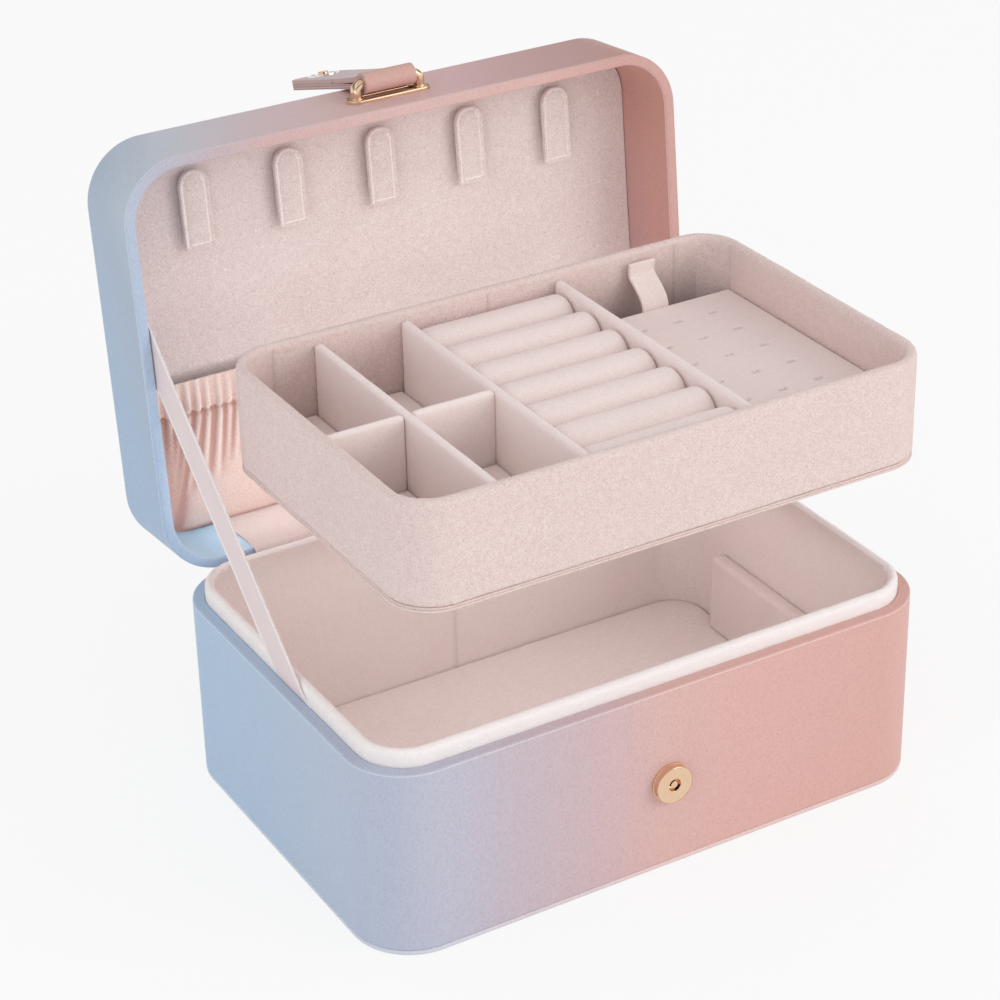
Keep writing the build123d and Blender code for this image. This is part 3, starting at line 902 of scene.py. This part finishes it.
tab = {
    "count": 5,
    "corner": 1.8 * mm,
    "narrower": 1.5 * mm,
    "thickness": 2.0 * mm,
    "foot": 10 * mm,
    "footInset": 1.2 * mm,
    "skin": (0.5 * mm, 3),  # face size and rounds of smoothing
    "ridgeIn": 1.5 * mm,
    "ridgeWidth": 0.55 * mm,
    "ridgeDepth": 0.35 * mm,
    "crown": 0.25 * mm,
    "crownReach": 3 * mm,
    "grain": 1.2 * mm,
    "fluff": 0.12 * mm,
}


def makeTabs():
    low, high = boxTurned("necklace_tab_1", closeLid)
    low.x += tab["narrower"]
    radius = (high.x - low.x) / 2
    centre = Vector((low.x + radius, low.y + radius))
    plateHigh = low.z + tab["thickness"]
    first = startBox("necklace_tab_pad_1", low, (high.x, high.y, plateHigh))
    bevelEdges(first, lambda e: upright(e) and middleOf(e).y < centre.y, radius - 0.02 * mm, 10)
    bevelEdges(first, lambda e: upright(e) and middleOf(e).y > high.y - 1 * mm, tab["corner"])
    inset = tab["footInset"]
    foot = startBox("foot", (low.x + inset, high.y - tab["foot"], plateHigh - tab["thickness"] / 2),
                    (high.x - inset, high.y - inset, high.z))
    joinPieces([first, foot])
    softenSkin(first, *tab["skin"])

    def press(co):
        if co.z > low.z + tab["thickness"] / 2:
            return co
        beyond = max(0.0, centre.y - co.y)
        inside = min(radius - math.hypot(co.x - centre.x, beyond), high.y - co.y) - tab["ridgeIn"]
        co.z += tab["ridgeDepth"] * math.exp(-(inside / tab["ridgeWidth"]) ** 2)
        co.z -= tab["crown"] * min(1.0, max(0.0, inside) / tab["crownReach"])
        return co

    moveVerts(first, press)
    ruffle(first, tab["grain"], tab["fluff"])
    tabs = [first]
    for i in range(2, tab["count"] + 1):
        shift = boxTurned("necklace_tab_" + str(i), closeLid)[1].x - high.x
        tabs.append(copyPiece(first, "necklace_tab_pad_" + str(i), (shift, 0, 0)))
    for i, piece in enumerate(tabs):
        turnPiece(piece, openLid)
        finishPiece(piece, panelPile, ["necklace_tab_" + str(i + 1)], "lid", 80)
        # painted highlight on each tab's right bevel and lower edge
        markFaces(piece, tabHighlight, lambda c, n: n.x > 0.3 or n.z < -0.35)


pocket = {
    "cloth": 0.7 * mm,
    "hem": 2.2 * mm,
    "waist": 1.1 * mm,
    "belly": 2.3 * mm,
    "stitchShare": 0.22,
    "columns": 330,
    "rows": 80,
    "sideGap": 0.4 * mm,
    "sideRound": 2.5 * mm,
    "backGap": 0.1 * mm,
    "footReach": 2.1 * mm,
    "foldFrom": 2.5 * mm,
    "foldPitch": (2.9, 4.4),
    "foldRise": 1.2 * mm,
    "pinch": 0.9 * mm,
    "pinchDepth": 0.6 * mm,
    "flat": (0.222, 0.060),
}


def makeFolds(half):
    # each fold: where it starts at the stitches, how far it leans out, its length, width and rise
    folds = []
    x = pocket["foldFrom"] - half
    while x < half - 2 * mm:
        outer = (abs(x) / half) ** 3
        lean = min((3 + 19 * outer) * mm * random.uniform(0.8, 1.1), half - 3.5 * mm - abs(x))
        reach = 0.2 + 1.25 * outer * random.uniform(0.8, 1.1)
        rise = (1.1 + 2.2 * outer) * random.uniform(0.7, 1.2) * mm
        folds.append((x, lean * math.copysign(1, x), reach, (0.75 + 0.5 * outer) * mm, rise))
        x += random.uniform(*pocket["foldPitch"]) * mm * (1 + 0.3 * outer)
    return folds


def pocketHeight(x, share, half, folds):
    # how far the cloth stands off the panel at a place, from its mouth (0) to its foot (1), and its painted
    # light and shade
    seam, waist = pocket["stitchShare"], pocket["waist"]
    above = share < seam
    t = (share - seam) / (1 - seam)
    if above:
        base = pocket["hem"] + (waist - pocket["hem"]) * (share / seam) ** 2
    else:
        base = waist + (pocket["belly"] - waist) * math.sin(math.pi * min(1.0, t * 0.85))
        base *= 1 - 0.5 * max(0.0, (t - 0.9) / 0.1) ** 2
    rise, around = 0.0, 0.0
    for start, lean, reach, width, height in folds:
        if above:
            off = x - start
            fade = 0.25 + 0.75 * share / seam
            spread = width * 0.8
        else:
            off = x - start - lean * t
            fade = (1 - t / reach) ** 0.55 if t < reach else 0.0
            spread = width * (1 + 1.1 * t)
        if abs(off) < 6 * spread:
            rise += height * fade * math.exp(-(off / spread) ** 2)
            around += height * fade * math.exp(-(off / spread / 2.4) ** 2)
    pinch = math.exp(-((share - seam) * 55 * mm / pocket["pinch"]) ** 2)
    edge = min(1.0, (half - abs(x)) / pocket["sideRound"])
    height = (base + rise * (1 - 0.6 * pinch) - pinch * pocket["pinchDepth"]) * math.sqrt(max(0.0, edge))
    # painted light on the folds' crests; painted shade in the hollows beside them, at the pinch under the
    # stitches and along the pocket's foot
    level, lift, shadeWeight = (0.74, 0.35, 0.5) if above else (0.62, 0.5, 0.95)
    crest = level + lift * min(1.0, rise / pocket["foldRise"]) - 0.3 * pinch
    crest -= shadeWeight * min(1.0, (around - rise) / pocket["foldRise"])
    if not above:
        crest -= 0.9 * math.exp(-((1 - t) / 0.025) ** 2)
    return max(0.15 * mm, height), crest


def makePocket():
    low, high = boxTurned("lid_pocket", closeLid)
    face = high.z
    half = (high.x - low.x) / 2
    folds = makeFolds(half)
    cloth = startSheet("pocket_cloth_gathered", pocket["columns"], pocket["rows"])
    fold_shades = cloth.data.attributes.new("crest", "FLOAT", "POINT")
    corner = case["corner"] - case["lidWall"] - 1 * mm
    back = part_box("base_shell")[1].y - case["lidWall"] - pocket["backGap"]
    foot = high.y + pocket["footReach"]
    for vertex in cloth.data.vertices:
        x = vertex.co.x * 2 * (half - pocket["sideGap"])
        share = vertex.co.y + 0.5
        # the foot follows the lid's round corners
        out = max(0.0, abs(x) - (half + 3 * mm - corner))
        limit = back - corner + math.sqrt(max(0.0, corner ** 2 - out ** 2)) if out > 0 else foot
        y = low.y + (min(foot, limit) - low.y) * share
        height, fold_shades.data[vertex.index].value = pocketHeight(x, share, half, folds)
        vertex.co = Vector((x, y, face - pocket["cloth"] / 2 - height))
    applyModifier(cloth, "SOLIDIFY", thickness=pocket["cloth"], offset=0.0)
    tidyNormals(cloth)
    stitches = makeStitches(low.y + (high.y - low.y) * pocket["stitchShare"], half, face, folds)
    for piece, material in ((cloth, pocketSatin), (stitches, thread)):
        turnPiece(piece, openLid)
        finishPiece(piece, material, [], "lid", 80)
    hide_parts("lid_pocket")


stitch = {"length": 2.2 * mm, "width": 0.44 * mm, "height": 0.35 * mm, "round": 0.12 * mm, "pitch": 3.4 * mm,
          "proud": 0.2 * mm}


def makeStitches(y, half, face, folds):
    first = startBox("pocket_stitches", (-stitch["length"] / 2, y - stitch["width"] / 2, 0),
                     (stitch["length"] / 2, y + stitch["width"] / 2, stitch["height"]))
    bevelEdges(first, lambda e: not upright(e), stitch["round"], 2)
    count = int(2 * (half - 4 * mm) / stitch["pitch"])
    row = []
    for i in range(count):
        x = (i - (count - 1) / 2) * stitch["pitch"]
        z = face - pocket["cloth"] - pocketHeight(x, pocket["stitchShare"], half, folds)[0] - stitch["proud"]
        row.append(copyPiece(first, "stitch", (x, 0, z)))
    bpy.data.objects.remove(first)
    return giveName(joinPieces(row), "pocket_stitches")


makeLidWrap()
makeLidPanel()
makeTabs()
makePocket()
print("Lid made")


# Latch: gold bracket on the lid's front and the folded strap on its bar

bracket = {
    "plateEnd": 0.35 * mm,
    "plateRim": 1.5 * mm,
    "plateRound": 0.42 * mm,
    "plateThickness": 1.3 * mm,
    "postX": 12.5 * mm,
    "postWidth": 3.6 * mm,
    "postDepth": 3.9 * mm,
    "postRound": 1.45 * mm,
    "bend": 2.6 * mm,
    "collar": (0.5 * mm, 0.4 * mm),
    "collarTop": 1.6 * mm,
    "collarHeight": 0.9 * mm,
    "collarCorner": 1.7 * mm,
    "collarRound": 0.35 * mm,
}


def makeBracket():
    low, high = boxTurned("latch_bracket", closeLid)
    halfX = (high.x - low.x) / 2
    halfZ = (high.z - low.z) / 2
    thick, postX, bend = bracket["plateThickness"], bracket["postX"], bracket["bend"]
    plate = openFrame("bracket_staple", (-halfX, -halfZ, 0), (halfX, halfZ, thick),
                      halfZ - bracket["plateEnd"], bracket["plateRim"], 12)
    bevelEdges(plate, creaseAt(thick), bracket["plateRound"])
    halfW, halfD = bracket["postWidth"] / 2, bracket["postDepth"] / 2
    bendZ = high.y - barAt.y - bend
    post = startBox("post", (-postX - halfW, -halfD, 0.5 * mm), (-postX + halfW, halfD, bendZ))
    bevelEdges(post, upright, bracket["postRound"], 5)
    edit(post)
    choose("FACE", facesUp)
    bpy.ops.mesh.spin(steps=9, angle=math.radians(-90), center=(-postX + bend, 0, bendZ), axis=(0, 1, 0))
    extrude((postX - bend, 0, 0))
    bpy.ops.mesh.delete(type="ONLY_FACE")
    leave()
    applyModifier(post, "MIRROR", use_axis=(True, False, False), merge_threshold=tiny * 2)
    tidyNormals(post)
    growX, growY = halfW + bracket["collar"][0], halfD + bracket["collar"][1]
    top = bracket["collarTop"]
    collar = roundedBox("collar", (-postX - growX, -growY, top - bracket["collarHeight"]),
                        (-postX + growX, growY, top), bracket["collarCorner"], 6)
    bevelEdges(collar, atHeight(top), bracket["collarRound"], 3)
    other = copyPiece(collar, "collar", (2 * postX, 0, 0))
    staple = joinPieces([plate, post, collar, other])
    turnPiece(staple, openLid @ setAt((0, high.y, barAt.z), 90))
    finishPiece(staple, gold, ["latch_bracket"], "lid", 40)


strap = {
    "width": 20 * mm,
    "thickness": 3.2 * mm,
    "leather": 1.85 * mm,
    "overlap": 0.05 * mm,
    "inner": 1.95 * mm,
    "neck": 4.5 * mm,
    "tipCut": 3 * mm,
    "round": 0.1 * mm,
    "rawEnd": 0.12 * mm,
}


def makeStrap():
    # hangs down from the bar, folded about it, and is then thrown back over the lid
    low, high = boxTurned("latch_strap", hangStrap)
    length = barAt.z - low.z
    outer = -(strap["thickness"] - strap["leather"]) / 2
    inner = outer + strap["leather"] - strap["overlap"]
    radius = strap["inner"] + strap["leather"] / 2
    path = [(0, outer, -length), (0, outer, -strap["neck"])]
    for i in range(21):
        angle = math.radians(200 - 220 * i / 20)
        path.append((0, radius * math.cos(angle), radius * math.sin(angle)))
    path += [(0, inner, -strap["neck"]), (0, inner, -length)]

    def narrow(side, share):
        fromTip = min(share, 1 - share) * 2 * length
        return 1 - max(0.0, 1 - fromTip / strap["tipCut"]) * 2 * strap["tipCut"] / strap["width"]

    piece, _ = makeStrip("latch_strap_folded", softPath(path, 2), (strap["width"], 0, 0), 8, 130,
                         strap["leather"], narrow)
    bevelEdges(piece, sharp, strap["round"], 2)
    turnPiece(piece, throwStrap @ Matrix.Translation(barAt))
    finishPiece(piece, strapFinish, ["latch_strap"], "latch", 40)
    neckZ, rawZ = barAt.z - strap["neck"], low.z + strap["rawEnd"]
    turned = hangStrap.to_3x3()
    markFaces(piece, strapInside, lambda c, n: (turned @ n).y > 0.5 and (hangStrap @ c).z < neckZ)
    markFaces(piece, strapEdge, lambda c, n: abs(n.x) > 0.6 or (hangStrap @ c).z < rawZ)


makeBracket()
makeStrap()
print("Latch made")


# Tray: fleece walls on a two-ply bottom, dividers, pads, rolls and the earring board

tray = {
    "corner": 16 * mm,
    "wall": 4 * mm,
    "rimRound": 1.8 * mm,
    "pile": (1.0 * mm, 2, 0.3 * mm, 0.3 * mm),
    "seams": (-82 * mm, 2 * mm, 80 * mm),
    "cornerSeam": 12 * mm,
    "seamTop": 1.5 * mm,
    "seamWidth": 0.5 * mm,
    "seamDepth": 0.55 * mm,
    "shadeTop": 4 * mm,
    "plyInset": 0.3 * mm,
}


def makeTrayWalls():
    low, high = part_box("tray_walls")
    wall = openFrame("tray_wall_padded", low, high, tray["corner"], tray["wall"])
    bevelEdges(wall, creaseAt(high.z), tray["rimRound"], 5)
    makePile(wall, *tray["pile"])
    middle, back, right = (low.x + high.x) / 2, high.y - tray["wall"], high.x - tray["wall"]

    def stitched(off):
        return math.exp(-(off / tray["seamWidth"]) ** 2)

    def seam(co):
        share = 0.0
        if co.z < high.z - tray["seamTop"]:
            if abs(co.y - back) < 1.0 * mm:
                share = max(stitched(co.x - middle - x) for x in tray["seams"])
            if abs(co.x - right) < 1.0 * mm:
                share = stitched(back - co.y - tray["cornerSeam"])
        return share * 0.5

    pressIn(wall, seam, (0, 1, 0), tray["seamDepth"])
    finishPiece(wall, fleece, ["tray_walls"], "tray", 80)
    # painted shade low on the tray's inner back wall
    fleeceShadedFoot = makeVelvet("fleece_painted_shade", "fleece", (low.z, high.z - tray["shadeTop"]))
    markFaces(wall, fleeceShadedFoot,
              lambda c, n: n.y < -0.3 and abs(c.y - back) < 1.2 * mm and c.z < high.z - 3 * mm)


def makeTrayBottom():
    low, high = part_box("tray_bottom")
    half = (high.z - low.z) / 2
    plies = []
    for i in range(2):
        inset = tray["plyInset"] * i
        ply = roundedBox("tray_bottom_plies", (low.x + inset, low.y + inset, low.z + half * i),
                         (high.x - inset, high.y - inset, low.z + half * (i + 1)), tray["corner"], 16)
        bevelEdges(ply, lambda e: not upright(e), half * 0.45, 3)
        plies.append(ply)
    finishPiece(joinPieces(plies), fleece, ["tray_bottom"], "tray", 60)


divider = {"round": 1.5 * mm, "pile": (0.95 * mm, 3, 0.16 * mm, 0.25 * mm), "shadeTop": 3 * mm}


def makeDividers():
    low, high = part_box("cross_divider_left")
    # painted shade low on the cross dividers' front and back faces
    pileShadedFoot = makeVelvet("pile_painted_shade", "pile", (low.z, high.z - divider["shadeTop"]))
    for name in ("compartment_divider", "cross_divider_left", "cross_divider_right", "ring_divider",
                 "earring_divider"):
        board = makeBoard(name, *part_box(name), divider, pile, "tray")
        if name.startswith("cross"):
            markFaces(board, pileShadedFoot, lambda c, n: abs(n.y) > 0.5)


foam = {"padRound": 1.2 * mm, "padSlice": 3 * mm, "padWave": 12 * mm, "padCrown": 0.4 * mm,
        "baseRound": 1.0 * mm, "baseSlice": 6 * mm}


def makeCompartmentPads():
    trayLow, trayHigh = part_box("tray_walls")
    reach = tray["wall"] + 2 * mm

    def inCorner(middle):
        nearY = min(middle.y - trayLow.y, trayHigh.y - middle.y) < reach
        return nearY and middle.x - trayLow.x < reach

    for i in range(1, 5):
        node = "compartment_pad_" + str(i)
        low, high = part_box(node)
        pad = roundedBox(node + "_foam", low, high, tray["corner"] - tray["wall"], 8, inCorner)
        bevelEdges(pad, atHeight(high.z), foam["padRound"], 3)
        sliceFlat(pad, foam["padSlice"])
        ruffle(pad, foam["padWave"], foam["padCrown"])
        finishPiece(pad, pile, [node], "tray", 60)


ringRoll = {"count": 7, "round": 3.4 * mm, "slice": 3 * mm, "sliceFrom": 3.5 * mm, "wave": 9 * mm,
            "crown": 0.45 * mm}


def makeRings():
    low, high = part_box("ring_base")
    base = startBox("ring_base_foam", low, high)
    bevelEdges(base, atHeight(high.z), foam["baseRound"], 3)
    sliceFlat(base, foam["baseSlice"])
    finishPiece(base, pile, ["ring_base"], "tray", 60)
    for i in range(1, ringRoll["count"] + 1):
        node = "ring_roll_" + str(i)
        low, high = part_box(node)
        roll = startDisc(node + "_foam", 0, (high.z - low.z) / 2, high.x - low.x, 48)
        bevelEdges(roll, lambda e: not upright(e), ringRoll["round"], 6)
        slicePiece(roll, 2, ringRoll["slice"], ringRoll["sliceFrom"])
        turnPiece(roll, setAt((low.x, (low.y + high.y) / 2, (low.z + high.z) / 2), 90, "Y"))
        ruffle(roll, ringRoll["wave"], ringRoll["crown"])
        finishPiece(roll, rollPile, [node], "tray", 80)


earringBoard = {
    "corner": 12.5 * mm,
    "round": 0.8 * mm,
    "slice": 0.6 * mm,
    "columns": 3,
    "rows": 6,
    "columnPitch": 15 * mm,
    "rowPitch": 16 * mm,
    "firstRow": 13.5 * mm,
    "spread": 1.8 * mm,
    "dimple": 0.65 * mm,
    "dip": 1.5 * mm,
    "ledgeRound": 0.6 * mm,
    "ledgeCorner": 0.5 * mm,
}


def makeEarringBoard():
    low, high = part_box("earring_board")
    piece = roundedBox("earring_board_velvet", low, high, earringBoard["corner"], 10,
                       lambda m: m.x > high.x - 1 * mm and m.y < low.y + 1 * mm)
    bevelEdges(piece, atHeight(high.z), earringBoard["round"], 3)
    sliceFlat(piece, earringBoard["slice"])
    middle, aside = (low.x + high.x) / 2, earringBoard["spread"] / 2
    holes = []
    for column in range(earringBoard["columns"]):
        for row in range(earringBoard["rows"]):
            x = middle + (column - (earringBoard["columns"] - 1) / 2) * earringBoard["columnPitch"]
            y = high.y - earringBoard["firstRow"] - row * earringBoard["rowPitch"]
            holes += [Vector((x - aside, y)), Vector((x + aside, y))]

    def dimple(co):
        near = min((co.xy - hole).length for hole in holes)
        return math.exp(-(near / earringBoard["dimple"]) ** 2) if co.z > high.z - 1 * mm else 0.0

    # painted shade: the velvet in the dimples is darker, for the shade in the holes
    pressIn(piece, dimple, (0, 0, -1), earringBoard["dip"])
    finishPiece(piece, rollPile, ["earring_board"], "earring_board", 60)
    for name in ("board_ledge_left", "board_ledge_right"):
        low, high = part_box(name)
        ledge = startBox(name + "_board", low, high)
        bevelEdges(ledge, atHeight(high.z), earringBoard["ledgeRound"], 3)
        bevelEdges(ledge, upright, earringBoard["ledgeCorner"], 3)
        finishPiece(ledge, pile, [name], "tray", 60)


pullTab = {"thickness": 1.3 * mm, "width": 10.8 * mm, "round": 0.3 * mm, "inset": 0.1 * mm, "fray": 0.02}


def makePullTab():
    low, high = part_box("pull_tab")
    middle = (low.x + high.x) / 2
    half = pullTab["thickness"] / 2 + pullTab["inset"]
    near, far = low.y + half, high.y - half
    path = softPath([
        (middle, near, low.z + 0.2 * mm),
        (middle, near + 0.2 * mm, low.z + 4.5 * mm),
        (middle, near + 3.5 * mm, low.z + 8 * mm),
        (middle, far - 1.6 * mm, low.z + 11 * mm),
        (middle, far, high.z - 5 * mm),
        (middle, far - 0.6 * mm, high.z - 0.2 * mm),
    ])

    def fray(side, share):
        return 1 + pullTab["fray"] * noise.noise(Vector((share * 60, side * 3, 0.5)))

    piece, length = makeStrip("pull_tab_cloth", path, (pullTab["width"], 0, 0), 10, 44,
                              pullTab["thickness"], fray)
    bevelEdges(piece, sharp, pullTab["round"], 2)
    finishPiece(piece, rollPile, ["pull_tab"], "earring_board", 60)


makeTrayWalls()
makeTrayBottom()
makeDividers()
makeCompartmentPads()
makeRings()
makeEarringBoard()
makePullTab()
print("Tray made")


# What crosses the hinge: leather outside, velvet inside, and the ribbon

def closedPoint(x, y, z):
    return openLid @ Vector((x, y, z))


hingeStrip = {"thickness": 0.8 * mm, "spineReach": 12 * mm}


def makeHingeSpine():
    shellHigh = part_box("base_shell")[1]
    low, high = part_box("hinge_spine")
    y = shellHigh.y + hingeStrip["thickness"] / 2
    top = closedPoint(0, y, shellHigh.z + hingeStrip["spineReach"])
    path = softPath([
        (0, y, low.z + 0.1 * mm),
        (0, y, hingeAt.z - 2.5 * mm),
        (0, y + 0.6 * mm, hingeAt.z - 0.9 * mm),
        (0, y + 2.4 * mm, hingeAt.z - 0.2 * mm),
        (0, top.y, top.z),
    ])
    spine, _ = makeStrip("hinge_spine_leather", path, (high.x - low.x, 0, 0), 30, 26, hingeStrip["thickness"])
    finishPiece(spine, baseLeather, ["hinge_spine"], None, 60)
    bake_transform(spine)


def makeHingeLining():
    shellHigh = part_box("base_shell")[1]
    low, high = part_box("hinge_lining")
    width, half = high.x - low.x, hingeStrip["thickness"] / 2
    rimZ = shellHigh.z + half
    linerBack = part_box("base_liner")[1].y
    wallY = shellHigh.y - case["lidWall"] - half
    start = closedPoint(0, wallY, shellHigh.z - 0.4 * mm)
    end = closedPoint(0, wallY, boxTurned("lid_panel", closeLid)[0].z - 0.2 * mm)
    path = softPath([
        (0, linerBack + 0.5 * mm, rimZ),
        (0, linerBack + 1.6 * mm, rimZ),
        (0, (linerBack + start.y) / 2 + 1.2 * mm, (rimZ + start.z) / 2),
        (0, start.y, start.z),
        (0, end.y, end.z),
    ])
    lining, length = makeStrip("hinge_lining_velvet", path, (width, 0, 0), 60, 20, hingeStrip["thickness"])
    finishPiece(lining, liningPile, ["hinge_lining"], None, 60)
    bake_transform(lining)


ribbon = {
    "thickness": 0.38 * mm,
    "half": 0.2 * mm,
    "spread": 22.5 * mm,
    "baseY": -3.1 * mm,
    "lidShift": 3.3 * mm,
    "lidReach": 86 * mm,
    "gap": 0.1 * mm,
    "outerGap": 0.2 * mm,
    "lidGap": 0.3 * mm,
    "tuck": 8 * mm,
    "anchor": 16 * mm,
    "row": 0.55 * mm,
    "scallop": 0.035,
}


def makeRibbon():
    shellLow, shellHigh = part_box("base_shell")
    linerLow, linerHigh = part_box("base_liner")
    outerX = linerLow.x - ribbon["half"] - ribbon["outerGap"]
    tuckedX = linerLow.x + ribbon["gap"] + ribbon["half"]
    lidX = shellLow.x + case["lidWall"] + ribbon["lidGap"] + ribbon["half"]
    stop = closedPoint(0, hingeAt.y - ribbon["lidReach"], shellHigh.z)
    stop = Vector((lidX, stop.y + ribbon["lidShift"], stop.z))
    lip = Vector((outerX, ribbon["baseY"], linerHigh.z))
    slope = (stop.y - lip.y) / (stop.z - lip.z)

    def onSlant(x, z):
        return x, lip.y + slope * (z - lip.z), z

    path = softPath([
        onSlant(tuckedX, shellHigh.z - ribbon["tuck"]),
        onSlant(tuckedX, shellHigh.z - 1.5 * mm),
        onSlant(outerX, shellHigh.z + 1.2 * mm),
        onSlant(outerX, lip.z),
        stop,
        onSlant(lidX, stop.z + ribbon["anchor"]),
    ], 2)
    length = pathPlaces(path, 1)[1]
    rows = round(length / ribbon["row"])

    def scallop(side, share):
        return 1 + (ribbon["scallop"] if round(share * rows) % 2 else 0.0) * (abs(side) > 0.45)

    piece, _ = makeStrip("ribbon_picot", path, (0, ribbon["spread"], 0), 16, rows,
                         ribbon["thickness"], scallop)
    finishPiece(piece, ribbonSatin, ["ribbon_stay"], None, 60)
    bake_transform(piece)


makeHingeSpine()
makeHingeLining()
makeRibbon()
print("Hinge and ribbon made")


# What only shows inside keeps its own shape

for name in ("snap_washer", "snap_magnet", "bracket_backing", "bracket_rivets"):
    node = frame["nodes"][name]
    node.data.materials.clear()
    node.data.materials.append(steel)


# Floor, light and camera

white = (1.0, 1.0, 1.0, 1.0)

studio = {
    "floor": 6.0,
    "paper": (0.88, 0.88, 0.88, 1.0),
    "paperGlow": 0.82,
    "horizon": 0.95,
    "zenith": 0.68,
    "bands": [(0.0, 1.0), (0.1, 1.0), (0.2, 0.22), (0.5, 0.3), (0.62, 1.0), (0.8, 0.9), (1.0, 0.6)],
    "camera": {"azimuth": -29.97, "elevation": 28.57, "roll": -1.34, "distance": 0.84004,
               "target": (-0.06965, -0.0871, 0.16736), "lens": 101.3},
    # name, place, target, size, spread in degrees, power and tone
    "lights": [
        ("key", (0.85, -1.0, 0.6), (0, 0, 0.09), (0.8, 0.8), 180, 4.8, (255, 250, 246)),
        ("fill", (-1.1, -0.6, 0.5), (0, 0, 0.09), (1.2, 1.2), 180, 2.6, (246, 250, 255)),
        ("inside", (0, -0.002, 0.074), (0, -0.002, 0), (0.185, 0.115), 180, 0.026, (247, 249, 253)),
        ("pocket", (0, 0.052, 0.088), (0, 0.118, 0.185), (0.19, 0.03), 180, 0.056, (252, 252, 252)),
        ("corner", (0, 0.101, 0.135), (0, 0.093, 0.07), (0.17, 0.016), 42, 0.0075, (240, 250, 255)),
    ],
}


def makeStage():
    clearSelection()
    bpy.ops.mesh.primitive_plane_add(size=studio["floor"])
    floor = giveName(bpy.context.object, "floor")
    made, start, _ = startMaterial("floor_paper")
    path = start.node("LightPath") + start.node("LightPath", out=3)
    lit = start.node("BsdfDiffuse", values={"Color": studio["paper"]})
    glow = start.node("Emission", values={"Color": white, "Strength": 1.0})
    mix = start.node("MixShader", values={0: path * studio["paperGlow"], 1: lit, 2: glow})
    start.node("OutputMaterial", values={"Surface": mix})
    floor.data.materials.append(made)
    world = bpy.context.scene.world or bpy.data.worlds.new("studio")
    bpy.context.scene.world = world
    world.use_nodes = True
    world.node_tree.nodes.clear()
    start = Wire(world.node_tree)
    rise = start.node("TexCoord", out=0).part(2).maths("MAXIMUM", 0.0)
    ambient = rise * (studio["zenith"] - studio["horizon"]) + studio["horizon"]
    # what metal mirrors: bright and dark bands, as from softboxes
    bands = start.node("ValToRGB", {"stops": [(z, (v, v, v, 1.0)) for z, v in studio["bands"]]}, {0: rise})
    strength = start.node("LightPath", out=3).mixed(ambient, bands)
    strength = start.node("LightPath").mixed(strength, white)
    sky = start.node("Background", values={"Color": white, "Strength": strength})
    start.node("OutputWorld", values={"Surface": sky})


def makeLights():
    for name, place, target, size, spread, power, tone in studio["lights"]:
        clearSelection()
        bpy.ops.object.light_add(type="AREA", location=place)
        light = bpy.context.object
        light.name = name
        light.rotation_euler = (Vector(target) - Vector(place)).to_track_quat("-Z", "Y").to_euler()
        light.data.shape = "RECTANGLE"
        light.data.size, light.data.size_y = size
        light.data.spread = math.radians(spread)
        light.data.energy = power
        light.data.color = shade(*tone)[:3]
        light.visible_camera = False


def makeCamera():
    values = studio["camera"]
    azimuth, elevation, roll = (math.radians(values[k]) for k in ("azimuth", "elevation", "roll"))
    back = Vector((math.sin(azimuth) * math.cos(elevation), -math.cos(azimuth) * math.cos(elevation),
                   math.sin(elevation)))
    level = Vector((math.cos(azimuth), math.sin(azimuth), 0))
    rise = back.cross(level)
    right = level * math.cos(roll) + rise * math.sin(roll)
    up = rise * math.cos(roll) - level * math.sin(roll)
    clearSelection()
    bpy.ops.object.camera_add(location=(0, 0, 0))
    camera = bpy.context.object
    camera.data.lens = values["lens"]
    camera.data.sensor_width = 36
    place = Matrix((right, up, back)).transposed().to_4x4()
    place.translation = Vector(values["target"]) + back * values["distance"]
    camera.matrix_world = place
    bpy.context.scene.camera = camera


makeStage()
makeLights()
makeCamera()
bpy.context.scene.view_settings.view_transform = "Standard"
print("Studio made")

clearSelection()
